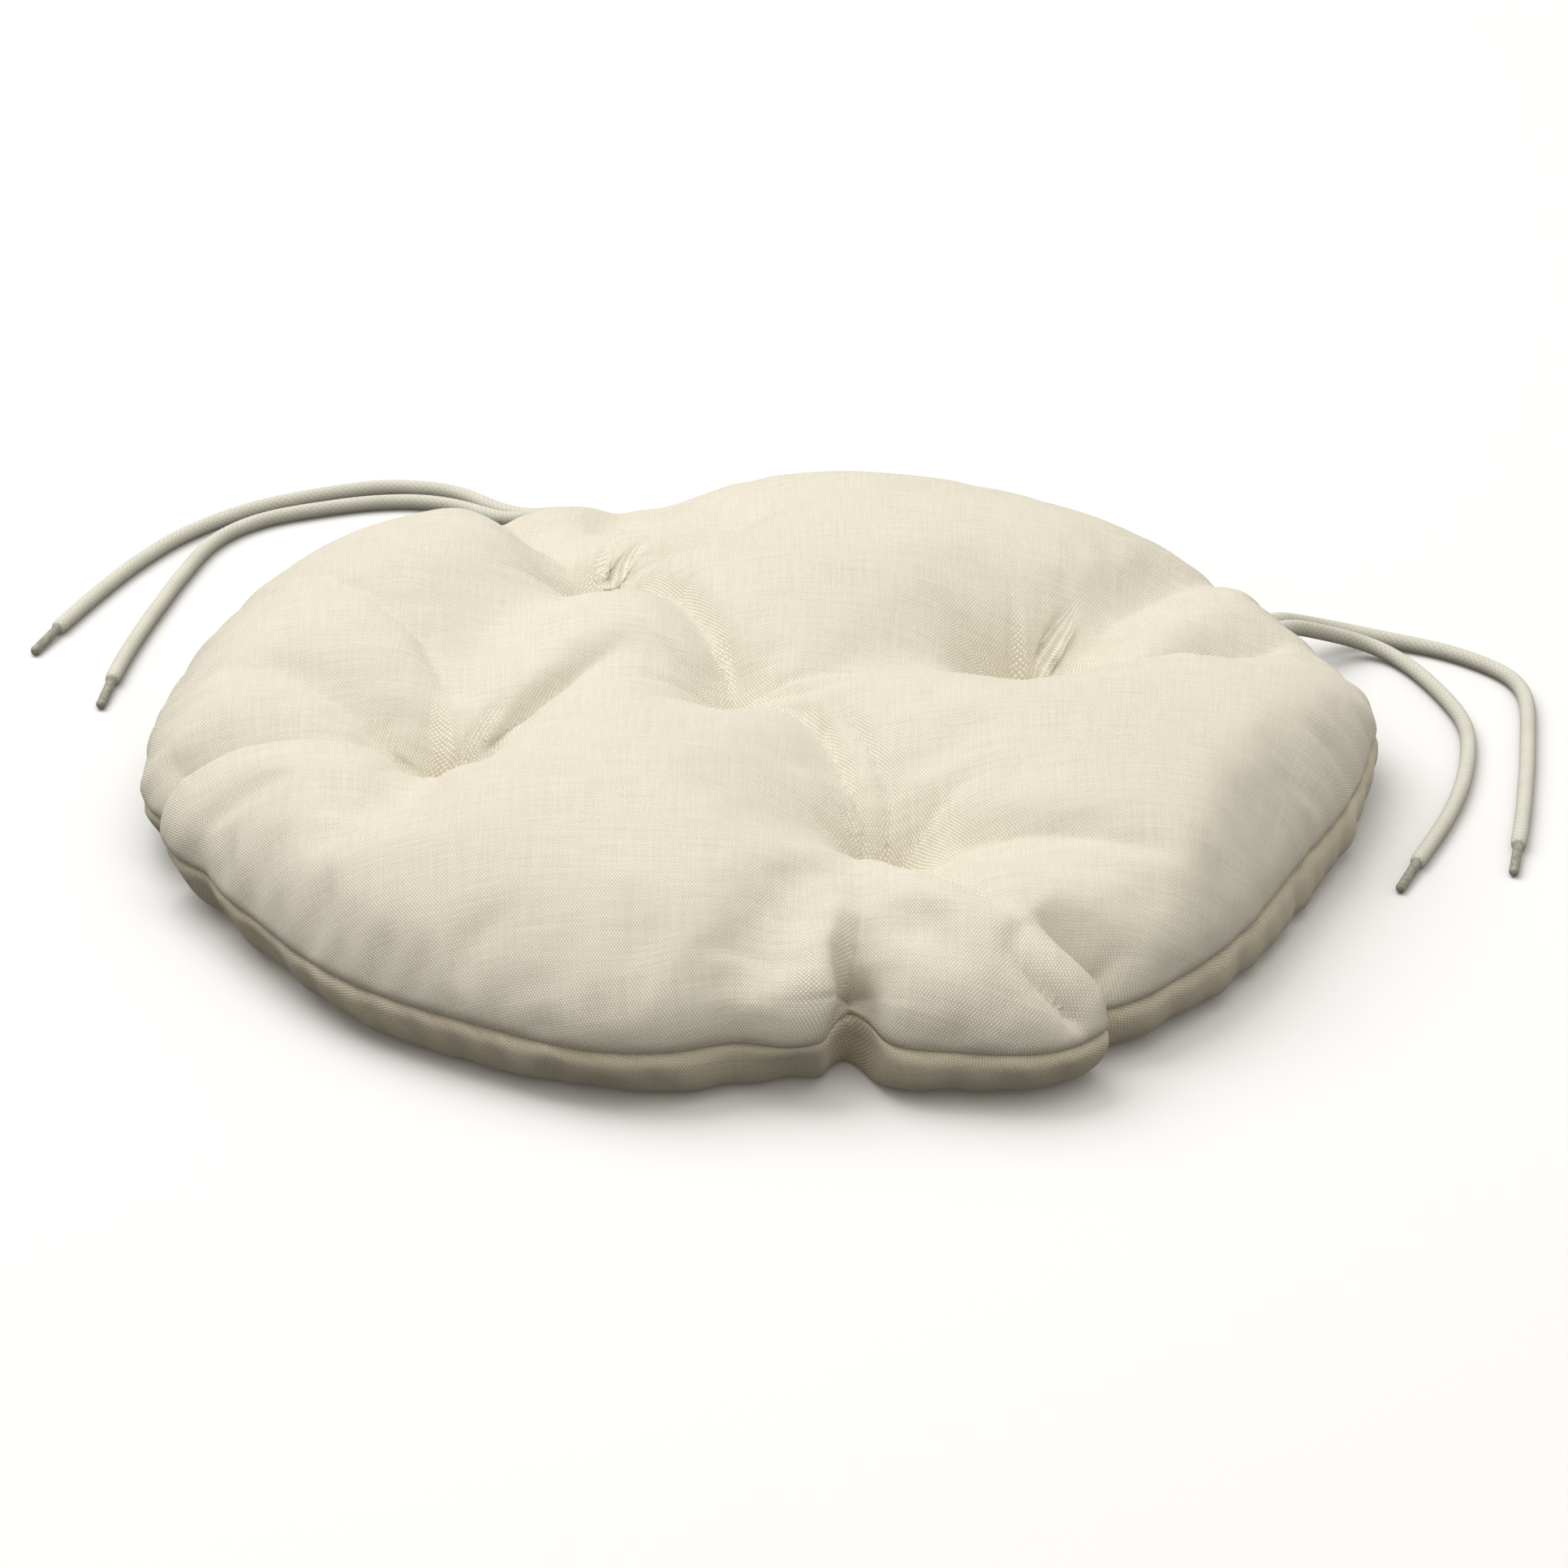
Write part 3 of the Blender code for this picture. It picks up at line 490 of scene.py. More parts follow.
# folds: crisp is 0 for a soft valley and 1 for a sharp crease; lean is 1 where the cloth on the left of its
# line overhangs, -1 on the right; then points (azimuth, flat distance in mm, depth in mm, half width in mm)
folds = {
    "front_notch": (0.6, -0.8, [
        (-58, 118, 1, 12), (-60, 140, 5, 12), (-62.5, 158, 12, 10), (-63.5, 172, 20, 8), (-63.5, 190, 15, 7),
    ]),
    "front_hollow": (0.0, 0, [(-62, 118, 2, 12), (-68, 142, 5, 12), (-71, 160, 5, 11), (-72, 176, 1, 9)]),
    "front_dimple": (0.0, 0, [(-54, 150, 3, 8), (-53, 160, 1, 8)]),
    "right_front": (0.8, -0.8, [
        (-43, 150, 1, 8), (-41.5, 162, 9, 8), (-39.5, 175, 14, 8), (-39, 190, 11, 7),
    ]),
    "right_pinch": (0.8, 0, [
        (-48, 158, 0.5, 4), (-46.5, 170, 4, 4), (-44.5, 180, 4, 4), (-43.5, 186, 0.5, 4),
    ]),
    "left_rim": (0.8, 0.7, [
        (-142, 104, 3, 10), (-147, 128, 6, 10), (-149, 148, 9, 10), (-149, 168, 12, 10), (-147, 190, 10, 8),
    ]),
    "left_up": (0.7, 0, [(-141, 98, 3, 8), (-150, 108, 6, 10), (-160, 126, 4, 12), (-169, 148, 0.5, 14)]),
    "left_back": (0.2, 0, [(-147, 92, 3, 12), (-172, 84, 7, 18), (164, 88, 7, 20), (146, 92, 3, 16)]),
    "left_line": (0.9, 0.5, [(-160, 88, 2, 6), (-175, 100, 4, 6), (177, 122, 3, 7), (173, 150, 0.5, 8)]),
    "left_right": (0.9, 0.5, [(-141, 90, 4, 8), (-150, 70, 8, 8), (-160, 56, 6, 8), (180, 44, 2, 9)]),
    "left_down": (0.2, 0, [(-135, 102, 4, 10), (-124, 125, 6, 12), (-121, 145, 1, 16)]),
    "back_left_rim": (0.4, 0, [(138, 100, 3, 10), (138, 122, 7, 12), (137, 150, 9, 13), (137, 175, 4, 13)]),
    "back_left_side": (0.3, 0, [(132, 100, 4, 9), (119, 105, 8, 11), (110, 125, 6, 13), (106, 150, 1, 16)]),
    "back_left_in": (0.8, 0.4, [(136, 88, 4, 8), (131, 67, 8, 9), (132, 42, 8, 9), (140, 18, 4, 8)]),
    "back_right_wide": (0.2, 0, [
        (46, 88, 4, 14), (47, 104, 9, 15), (52, 130, 10, 14), (56, 155, 7, 11), (57, 175, 2, 10),
    ]),
    "back_right_crease": (1.0, -0.8, [
        (38, 84, 3, 8), (31, 104, 8, 8), (33, 124, 8, 8), (38, 152, 5, 8), (40, 165, 0.5, 8),
    ]),
    "front_right_side": (0.1, 0, [(-45, 95, 4, 10), (-38, 115, 6, 12), (-32, 140, 2, 16)]),
    "front_right_line": (0.8, 0, [(-50, 95, 3, 8), (-48, 118, 6, 8), (-46, 140, 4, 8), (-45, 152, 0.5, 8)]),
    "centre_front": (0.9, 0.4, [(-30, 12, 3, 7), (-38, 30, 8, 8), (-46, 55, 8, 9), (-49, 80, 4, 8)]),
    "centre_line": (1.0, 0, [(-18, 28, 1, 4), (-31, 45, 4, 4), (-38, 62, 3, 4), (-43, 76, 1, 4)]),
    "centre_back_right": (0.0, 0, [(30, 15, 1, 10), (42, 40, 4, 14), (46, 70, 4, 12)]),
    "right_line": (0.9, 0, [(-39, 100, 2, 6), (-29, 128, 3, 7), (-24, 155, 0.5, 8)]),
}


def discGrid(cells):
    # square grid to disc: a point's ring is the larger of |u| and |v|, and its angle is a quarter turn
    # times the ratio of the smaller to the larger, so ring k has 8k points
    line = np.linspace(-1.0, 1.0, cells + 1)
    u, v = np.meshgrid(line, line, indexing="ij")
    ring = np.maximum(abs(u), abs(v))
    safe = np.where(ring > 0.0, ring, 1.0)
    wide = abs(u) >= abs(v)
    angle = np.where(wide, np.pi / 4 * v / np.where(wide, safe * np.sign(u + 1e-12), 1.0), 0.0)
    angle = np.where(wide, np.where(u < 0.0, angle + np.pi, angle), angle)
    steep = np.pi / 2 - np.pi / 4 * u / np.where(wide, 1.0, safe * np.sign(v + 1e-12))
    angle = np.where(wide, angle, np.where(v < 0.0, steep + np.pi, steep))
    number = np.arange((cells + 1) ** 2).reshape(cells + 1, cells + 1)
    corners = [number[:-1, :-1], number[1:, :-1], number[1:, 1:], number[:-1, 1:]]
    faces = np.stack(corners, axis=2).reshape(-1, 4)
    edge = np.concatenate([number[-1, :-1], number[:0:-1, -1], number[0, :0:-1], number[:-1, 0]])
    angles = angle.ravel()
    order = edge[np.argsort(np.mod(angles[edge], 2.0 * np.pi))]
    return ring.ravel(), angles, faces, order


def topProfile(setup):
    # superellipse from the middle of the crown down to the seam, as radius and height by distance along it
    t = np.linspace(0.0, math.pi / 2, 3000)
    radius = (padRadius + setup["seamDepth"]) * np.sin(t) ** (2.0 / setup["rimFullness"])
    height = seamHeight + (crownHeight - seamHeight) * np.cos(t) ** (2.0 / setup["rimRoundness"])
    radius[0], height[-1] = 0.0, seamHeight
    return lengthAlong(np.stack([radius, height], axis=1)), radius, height


def underProfile(setup):
    # flat, then a quarter ellipse up to the seam
    t = np.linspace(0.0, math.pi / 2, 800)
    flat = setup["underFlat"]
    radius = np.concatenate([[0.0], flat + (padRadius + setup["seamDepth"] - flat) * np.sin(t)])
    height = np.concatenate([[0.0], seamHeight * (1.0 - np.cos(t))])
    return lengthAlong(np.stack([radius, height], axis=1)), radius, height


def turnsApart(a, b):
    # degrees from b to a, from -180 to 180
    return np.mod(a - b + 180.0, 360.0) - 180.0


def runsOffset(degrees, runs):
    # runs in and out of round, each a bell of its own width
    total = np.zeros_like(degrees)
    for middle, width, out in runs:
        total += out * np.exp(-((turnsApart(degrees, middle) / width) ** 2))
    return total


def foldShape(flat, fold):
    # depth of one fold: its own depth and width along its line, falling off across it as a bell, or more
    # sharply the crisper it is. The side it leans to is narrower, and its ridge moves over the fold's line.
    crisp, lean, stations = fold
    table = np.array(stations, dtype=float)
    turn = np.radians(table[:, 0])
    knots = np.stack([np.cos(turn), np.sin(turn)], axis=1) * table[:, 1:2] / 1000.0
    best = np.full(len(flat), np.inf)
    depth = np.zeros(len(flat))
    width = np.ones(len(flat))
    towards = np.zeros((len(flat), 2))
    for k in range(len(knots) - 1):
        start, run = knots[k], knots[k + 1] - knots[k]
        off = flat - start
        share = np.clip(off @ run / (run @ run), 0.0, 1.0)
        away = np.linalg.norm(off - share[:, None] * run, axis=1)
        left = (run[0] * off[:, 1] - run[1] * off[:, 0]) / np.maximum(away * np.linalg.norm(run), 1e-9)
        near = away < best
        best = np.where(near, away, best)
        deep, wide = (table[k, c] + (table[k + 1, c] - table[k, c]) * share for c in (2, 3))
        depth = np.where(near, deep, depth)
        width = np.where(near, wide * (1.0 - 0.6 * lean * np.clip(left, -1.0, 1.0)), width)
        across = np.array([run[1], -run[0]]) / np.linalg.norm(run)
        step = np.where(near, np.maximum(lean * left, 0.0), 0.0)[:, None] * np.sign(lean) * across
        towards = np.where(near[:, None], step, towards)
    across = best / (width / 1000.0)
    soft = np.exp(-(across**2))
    sharp = np.exp(-1.6 * across**1.15)
    ridge = np.exp(-(((across - 1.6) / 1.2) ** 2))
    shift = towards * (ridge * depth / 1000.0 * 0.3)[:, None]
    return depth / 1000.0 * ((1.0 - crisp) * soft + crisp * sharp), shift


def normalsOf(points, faces):
    # area-weighted normals at the points
    a, b, c, d = (points[faces[:, k]] for k in range(4))
    face = np.cross(c - a, d - b)
    total = np.zeros_like(points)
    for k in range(4):
        np.add.at(total, faces[:, k], face)
    return total / np.maximum(np.linalg.norm(total, axis=1, keepdims=True), 1e-12)


def puckers(degrees, seed):
    # small irregular gathers round the seam: three waves that don't share a common turn
    turn = np.radians(degrees)
    waves = np.sin(31.0 * turn + seed) + np.sin(47.0 * turn + 2.0 * seed + 2.0 * np.sin(5.0 * turn))
    return (waves + np.sin(74.0 * turn + 3.0 * seed + 1.5 * np.sin(7.0 * turn))) / 2.0


def topShape(ring, angle, faces, setup):
    # the crown less the tufts' pits and the creases round them, then every fold and the seam's puckers
    # taken off along the cloth's own normal
    along, radius, height = topProfile(setup)
    flatRadius = along[-1]
    s = ring * flatRadius
    r, z = np.interp(s, along, radius), np.interp(s, along, height)
    degrees = np.degrees(angle)
    reach = np.clip((s / flatRadius - 0.45) / 0.55, 0.0, 1.0) ** 1.5
    r = r + runsOffset(degrees, seamRuns) * reach
    groove = np.clip((s - flatRadius + setup["seamRound"]) / setup["seamRound"], 0.0, 1.0)
    points = np.stack([r * np.cos(angle), r * np.sin(angle), z], axis=1)
    inside = np.clip((flatRadius - s) / 0.05, 0.0, 1.0)
    for x, y, depth, pit, hollow in tufts.values():
        away = np.hypot(points[:, 0] - x, points[:, 1] - y)
        sink = pitShare * np.exp(-away / pit) + (1.0 - pitShare) * np.exp(-((away / hollow) ** 1.5))
        around = np.arctan2(points[:, 1] - y, points[:, 0] - x)
        around = around + 0.35 * np.sin(2.0 * around + 40.0 * x) + 0.2 * np.sin(3.0 * around - 60.0 * y)
        crease = (1.0 - np.abs(np.sin(3.5 * around + 90.0 * y))) ** 2
        crease = crease * np.exp(-(((away - setup["creaseRing"]) / setup["creaseWidth"]) ** 2))
        points[:, 2] -= (depth * sink + setup["crease"] * crease) * inside**0.5
    flat = np.stack([s * np.cos(angle), s * np.sin(angle)], axis=1)
    for x, y, width, lift in pillows:
        away = np.hypot(points[:, 0] - x, points[:, 1] - y)
        points[:, 2] += lift * np.exp(-((away / width) ** 2)) * inside
    normal = normalsOf(points, faces)
    total = np.zeros(len(points))
    shift = np.zeros((len(points), 2))
    for fold in folds.values():
        depth, over = foldShape(flat, fold)
        total, shift = total + depth, shift + over
    rim = np.clip((s - flatRadius + setup["rimReach"]) / setup["rimReach"], 0.0, 1.0)
    rim = rim * np.clip((flatRadius - s) / 0.004, 0.0, 1.0)
    total = total + setup["pucker"] * puckers(degrees, 1.0) * rim
    points = points - normal * total[:, None]
    points[:, :2] += shift * np.clip((flatRadius - s) / 0.012, 0.2, 1.0)[:, None]
    return points, flat, groove, total


def underShape(ring, angle, setup, seam, order):
    # the underside profile; its seam is drawn to the top panel's, less and less towards the middle
    along, radius, height = underProfile(setup)
    flatRadius = along[-1]
    s = ring * flatRadius
    r, z = np.interp(s, along, radius), np.interp(s, along, height)
    degrees = np.degrees(angle)
    waist = np.sin(np.pi * np.clip((s - flatRadius + setup["rimReach"]) / setup["rimReach"], 0.0, 1.0))
    r = r + (runsOffset(degrees, underRuns) + setup["underPucker"] * puckers(degrees, 2.0)) * waist
    points = np.stack([r * np.cos(angle), r * np.sin(angle), z], axis=1)
    shift = seam - points[order]
    turn = np.mod(angle[order], 2.0 * np.pi)
    here = np.mod(angle, 2.0 * np.pi)
    fade = np.clip((s - flatRadius + setup["drawReach"]) / setup["drawReach"], 0.0, 1.0)
    fade = fade * fade * (3.0 - 2.0 * fade)
    moved = np.stack([np.interp(here, turn, shift[:, axis], period=2.0 * np.pi) for axis in range(3)], axis=1)
    points = points + moved * fade[:, None] * np.array([1.0, 1.0, 0.0])
    points[:, 2] += moved[:, 2] * fade**3
    for x, y, *_ in tufts.values():
        away = np.hypot(points[:, 0] - x, points[:, 1] - y)
        points[:, 2] += setup["dimpleDepth"] * np.exp(-((away / setup["dimpleWidth"]) ** 1.6))
    flat = np.stack([s * np.cos(angle), s * np.sin(angle)], axis=1)
    return points, flat


settleSetup = {
    "frames": 16,
    "quality": 5,
    "pressure": 4.0,
    "grow": 0.022,  # cloth to spare
    "stiffness": 15.0,
    "bending": 0.1,
    "foldHold": 0.5,  # how firmly the deepest folds keep their place
    "tuftHold": 0.006,  # radius of cloth held at each tuft
    "evenings": 2,  # passes that even out the swelling
    "broad": 160,  # passes that leave its broad part, most of which is taken off
    "broadShare": 0.85,
}


def evened(sheets, passes):
    # each pass averages every inner grid point with its four neighbours; the edges stay
    sheets = sheets.copy()
    for _ in range(passes):
        beside = sheets[:, :-2, 1:-1] + sheets[:, 2:, 1:-1] + sheets[:, 1:-1, :-2] + sheets[:, 1:-1, 2:]
        sheets[:, 1:-1, 1:-1] = sheets[:, 1:-1, 1:-1] * 0.4 + beside * 0.15
    return sheets


def doubled(sheets):
    # a point between each two, half way, in both directions
    layers, cells = sheets.shape[:2]
    wide = np.zeros((layers, 2 * cells - 1, 2 * cells - 1, 3))
    wide[:, ::2, ::2] = sheets
    wide[:, 1::2, ::2] = (sheets[:, :-1] + sheets[:, 1:]) / 2
    wide[:, :, 1::2] = (wide[:, :, :-1:2] + wide[:, :, 2::2]) / 2
    return evened(wide, 2)


def settle(top, under, hold, faces, order, setup):
    # the two panels as one closed bag: its tufts, seam and flat underside are held and the rest swells. Of
    # the swelling, the wrinkles are kept: the evened movement less most of its broad part.
    count = len(top)
    shared = np.arange(count, 2 * count)
    shared[order] = order
    used, compact = np.unique(np.concatenate([np.arange(count), shared]), return_inverse=True)
    points = np.concatenate([top, under])[used]
    weights = hold[used]
    lower = compact[count:][faces][:, ::-1]
    bag = addMesh("bag", points, [compact[faces], lower], topCloth)
    held = bag.vertex_groups.new(name="held")
    for level in np.linspace(0.05, 1.0, 20):
        chosen = np.flatnonzero(np.abs(weights - level) < 0.025)
        held.add(chosen.tolist(), float(level), "REPLACE")
    cloth = bag.modifiers.new("swell", "CLOTH")
    rules = cloth.settings
    rules.quality = setup["quality"]
    rules.mass = 0.3
    rules.tension_stiffness = rules.compression_stiffness = setup["stiffness"]
    rules.shear_stiffness = setup["stiffness"] / 3
    rules.bending_stiffness = setup["bending"]
    rules.vertex_group_mass = "held"
    rules.pin_stiffness = 1.0
    rules.shrink_min = -setup["grow"]
    rules.use_pressure = True
    rules.uniform_pressure_force = setup["pressure"]
    rules.effector_weights.gravity = 0.0
    cloth.collision_settings.use_collision = False
    cloth.point_cache.frame_end = setup["frames"]
    scene = bpy.context.scene
    for number in range(1, setup["frames"] + 1):
        scene.frame_set(number)
    swollen = bag.evaluated_get(bpy.context.evaluated_depsgraph_get()).data
    places = np.zeros(len(points) * 3, dtype=np.float32)
    swollen.vertices.foreach_get("co", places)
    moved = places.reshape(-1, 3) - points
    millimetres = np.linalg.norm(moved, axis=1) * 1000.0
    print(f"cloth moved {millimetres.mean():.2f} mm on average, {millimetres.max():.2f} mm at most")
    bpy.data.objects.remove(bag)
    scene.frame_set(1)
    cells = round(math.sqrt(count))
    fine = evened(moved[compact].reshape(2, cells, cells, 3), setup["evenings"])
    return fine - evened(fine, setup["broad"]) * setup["broadShare"]


def addWrinkles(top, under, fold, setup):
    # swells every second grid point of both panels and adds the wrinkles to all of them
    topHold = np.clip(fold / 0.009, 0.0, 1.0) * setup["foldHold"]
    underHold = np.where(under[:, 2] < 0.0015, 1.0, 0.0)
    for x, y, *_ in tufts.values():
        near = np.hypot(top[:, 0] - x, top[:, 1] - y) / setup["tuftHold"]
        topHold = np.maximum(topHold, np.clip(2.0 - near, 0.0, 1.0))
        near = np.hypot(under[:, 0] - x, under[:, 1] - y) / setup["tuftHold"]
        underHold = np.maximum(underHold, np.clip(2.0 - near, 0.0, 1.0))
    topHold[seamOrder] = 1.0
    cells = coverSetup["cells"] // 2
    chosen = np.arange((2 * cells + 1) ** 2).reshape(2 * cells + 1, -1)[::2, ::2].ravel()
    faces, order = discGrid(cells)[2:]
    hold = np.concatenate([topHold[chosen], underHold[chosen]])
    wrinkles = settle(top[chosen], under[chosen], hold, faces, order, setup)
    upper, lower = doubled(wrinkles).reshape(2, -1, 3)
    return top + upper, under + lower


clothColours = {
    "light": (0.93, 0.885, 0.765),
    "dark": (0.50, 0.46, 0.36),
    "warpPitch": 0.000415,
    "weftPitch": 0.0007,
}


def makeClothFinish(name, colours, flatRadius, shade=(1.0, 1.0, 1.0)):
    # plain rib weave: light floats in staggered rows, with painted shade in the gaps between them; yarn
    # streaks and patches vary the cloth's own tone
    finish = Finish(name, roughness=0.92, sheen=0.15, specular=0.2)
    place, u, v = finish.ownMap("clothMap")
    spread = 2.2 * flatRadius  # metres across the whole map
    warp = u * (spread / colours["warpPitch"])
    weft = v * (spread / colours["weftPitch"])
    wobble = finish.noise(finish.map(place, (spread * 260.0, spread * 900.0, 1.0)), 1.0, detail=2.0)
    weft = weft + (wobble - 0.5) * 0.25
    dots = finish.maths("COSINE", warp * math.pi) * finish.maths("COSINE", weft * math.pi)
    gaps = finish.clamp(dots, 0.8, -0.1)
    yarn = finish.noise(finish.map(place, (spread * 50.0, spread * 900.0, 1.0)), 1.0, detail=3.0)
    warpYarn = finish.noise(finish.map(place, (spread * 1500.0, spread * 40.0, 1.0)), 1.0, detail=2.0)
    patch = finish.noise(finish.map(place, (spread * 16.0, spread * 16.0, 1.0)), 1.0, detail=3.0)
    # the gaps' darkening is painted shade; the yarn, warp yarn and patch noise are the cloth's own uneven
    # tone
    gapShadeAndYarnTone = finish.clamp(gaps * 0.72 + (yarn - 0.5) * 0.35 + (warpYarn - 0.5) * 0.3 + (patch - 0.5) * 0.15)
    # shade darkens and warms both colours: painted shade, used for the underside's cloth below the seam
    light = tuple(c * k for c, k in zip(colours["light"], shade))
    dark = tuple(c * k for c, k in zip(colours["dark"], shade))
    finish.colour(finish.mix(gapShadeAndYarnTone, light, dark))
    finish.relief(1.0 - gaps * 0.8 + yarn * 0.3, 0.00022, 0.7)
    return finish


def clothMap(flat, setup, flatRadius):
    # flat-cut places turned so that v runs along the warp, in shares of the map
    turn = math.radians(90.0 - setup["weaveAngle"])
    x = flat[:, 0] * math.cos(turn) - flat[:, 1] * math.sin(turn)
    y = flat[:, 0] * math.sin(turn) + flat[:, 1] * math.cos(turn)
    return 0.5 + np.stack([x, y], axis=1) / (2.2 * flatRadius)


def panelMesh(name, points, flat, faces, order, side, finish, setup, flatRadius):
    # the panel's cloth with its turned edge: two more rings, in and a little away from the other panel
    seam = points[order]
    inward = -seam * np.array([1.0, 1.0, 0.0])
    inward /= np.linalg.norm(inward, axis=1, keepdims=True)
    gap = np.array([0.0, 0.0, side])
    first = seam + inward * 0.0012 + gap * 0.0001
    second = seam + inward * setup["hem"] + gap * 0.0004
    count, edge = len(points), len(order)
    n = np.roll(np.arange(edge), -1)
    k = np.arange(edge)
    one = np.stack([order[k], count + k, count + n, order[n]], axis=1)
    two = np.stack([count + k, count + edge + k, count + edge + n, count + n], axis=1)
    every = np.concatenate([faces, one, two])
    if side < 0:
        every = every[:, ::-1]
    places = np.concatenate([points, first, second])
    cut = np.concatenate([flat, flat[order] * 1.005, flat[order] * 1.02])
    cornerMap = clothMap(cut, setup, flatRadius)[every.ravel()]
    piece = addMesh(name, places, [every], finish, "clothMap", cornerMap)
    wall = piece.modifiers.new("cloth", "SOLIDIFY")
    wall.thickness = setup["cloth"]
    wall.offset = -1.0
    wall.use_even_offset = False
    return piece


def pinch(points, groove, setup):
    # draws the last few millimetres of a panel in to the seam line, so that the seam lies in a groove
    inward = -points * np.array([1.0, 1.0, 0.0])
    inward /= np.maximum(np.linalg.norm(inward, axis=1, keepdims=True), 1e-9)
    return points + inward * (setup["seamDepth"] * groove**2)[:, None]


ring, angle, gridFaces, seamOrder = discGrid(coverSetup["cells"])
topPoints, topFlat, topGroove, topFold = topShape(ring, angle, gridFaces, coverSetup)
underPoints, underFlat = underShape(ring, angle, coverSetup, topPoints[seamOrder], seamOrder)
topFlatRadius = topProfile(coverSetup)[0][-1]
underFlatRadius = underProfile(coverSetup)[0][-1]
underGroove = np.clip((ring - 1.0) * underFlatRadius / coverSetup["seamRound"] + 1.0, 0.0, 1.0)
topCloth = makeClothFinish("coverCloth", clothColours, topFlatRadius)


topPoints, underPoints = addWrinkles(topPoints, underPoints, topFold, settleSetup)
print("cloth settled")
topPoints = pinch(topPoints, topGroove, coverSetup)
underPoints = pinch(underPoints, underGroove, coverSetup)
underPoints[:, 2] = np.maximum(underPoints[:, 2], 0.0001)
# the underside's cloth, painted darker and warmer than the top's: painted shade for the band below the seam
underCloth = makeClothFinish("coverClothUnder", clothColours, topFlatRadius, shade=(0.92, 0.89, 0.82))
panels = [
    ("coverTop", topPoints, topFlat, 1, topCloth, "cover_top", "cover_cloth"),
    ("coverUnder", underPoints, underFlat, -1, underCloth, "cover_bottom", "cover_cloth_under"),
]
for name, points, flat, side, finish, node, slot in panels:
    piece = panelMesh(name, points, flat, gridFaces, seamOrder, side, finish, coverSetup, topFlatRadius)
    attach(piece, "pad")
    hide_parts(node)
print("cover made")


# Inside: the filling, the threads of the seam and of the tufts, and the sewn-in ends of the ties.
innerSetup = {
    "gap": 0.0035,  # from the cloth's outer face to the filling
    "pitGap": 0.006,  # further clearance round a tuft, where the cloth is steep
    "pitWidth": 0.020,
    "seamInset": 0.0062,
    "threadRadius": 0.00035,
    "twine": 0.0005,
    "legs": 0.0028,  # between the two legs of a tuft's stitch
    "knot": 0.0013,
    "fill": (0.80, 0.80, 0.77),
    "thread": (0.72, 0.69, 0.59),
}


def makeFibreFinish(colour):
    # loose fibre: short streaks of light and shade
    finish = Finish("fibreFill", roughness=0.95, sheen=0.3, specular=0.1)
    place = finish.objectPlace()
    strands = finish.noise(finish.map(place, (900.0, 900.0, 260.0)), 1.0, detail=4.0)
    finish.colour(finish.mix(finish.clamp(strands, 0.3, 0.7), tuple(c * 0.8 for c in colour), colour))
    finish.relief(strands, 0.0012)
    return finish


def makeThreadFinish(colour):
    # two-ply twist: painted shade in slanting lines between the plies
    finish = Finish("sewingThread", roughness=0.7, sheen=0.1)
    place = finish.objectPlace()
    sockets = {0: place, 1: (1.0, 0.7, 1.3)}
    slant = finish.node("ShaderNodeVectorMath", {"operation": "DOT_PRODUCT"}, sockets, output="Value")
    ply = finish.maths("ABSOLUTE", finish.maths("SINE", slant * 4200.0))
    finish.colour(finish.mix(finish.clamp(ply, 0.0, 0.5), tuple(c * 0.6 for c in colour), colour))
    finish.relief(ply, 0.0001)
    return finish


def makeFilling(top, under, fold, faces, order, setup, finish):
    # each panel's surface moved in along its own normal, and towards the middle by a share of the folds'
    # depth; both share an edge ring well inside the seam
    outward = top * np.array([1.0, 1.0, 0.0])
    outward /= np.maximum(np.linalg.norm(outward, axis=1, keepdims=True), 1e-9)
    back = outward * np.clip(0.7 * fold, 0.0, 0.012)[:, None]
    upper = top - normalsOf(top, faces) * setup["gap"] - back
    lower = under + normalsOf(under, faces) * setup["gap"] - back
    middle = (top[:, 2] + under[:, 2]) / 2
    for x, y, *_ in tufts.values():
        fromTuft = np.hypot(top[:, 0] - x, top[:, 1] - y)
        upper[:, 2] -= setup["pitGap"] * np.exp(-((fromTuft / setup["pitWidth"]) ** 2))
    upper[:, 2] = np.maximum(upper[:, 2], middle + 0.0004)
    lower[:, 2] = np.minimum(lower[:, 2], middle - 0.0004)
    edge = top[order] * np.array([1.0, 1.0, 0.0]) - outward[order] * 0.009 - back[order]
    upper[order] = edge + np.array([0.0, 0.0, seamHeight])
    count = len(top)
    shared = np.arange(count, 2 * count)
    shared[order] = order
    used, compact = np.unique(np.concatenate([np.arange(count), shared]), return_inverse=True)
    points = np.concatenate([upper, lower])[used]
    blocks = [compact[faces], compact[count:][faces][:, ::-1]]
    return addMesh("fillingCore", points, blocks, finish)


def makeSeamThread(name, seam, start, end, setup, finish):
    # round the seam from one azimuth to another, a little inside it
    turn = np.mod(np.degrees(np.arctan2(seam[:, 1], seam[:, 0])) - start, 360.0)
    line = np.argsort(turn)
    path = seam[line][turn[line] <= np.mod(end - start, 360.0)]
    flatPath = path * np.array([1.0, 1.0, 0.0])
    path = path - flatPath / np.linalg.norm(flatPath, axis=1, keepdims=True) * setup["seamInset"]
    path[:, 2] = seamHeight
    return carriedTube(name, path, np.full((len(path), 8), setup["threadRadius"]), finish)


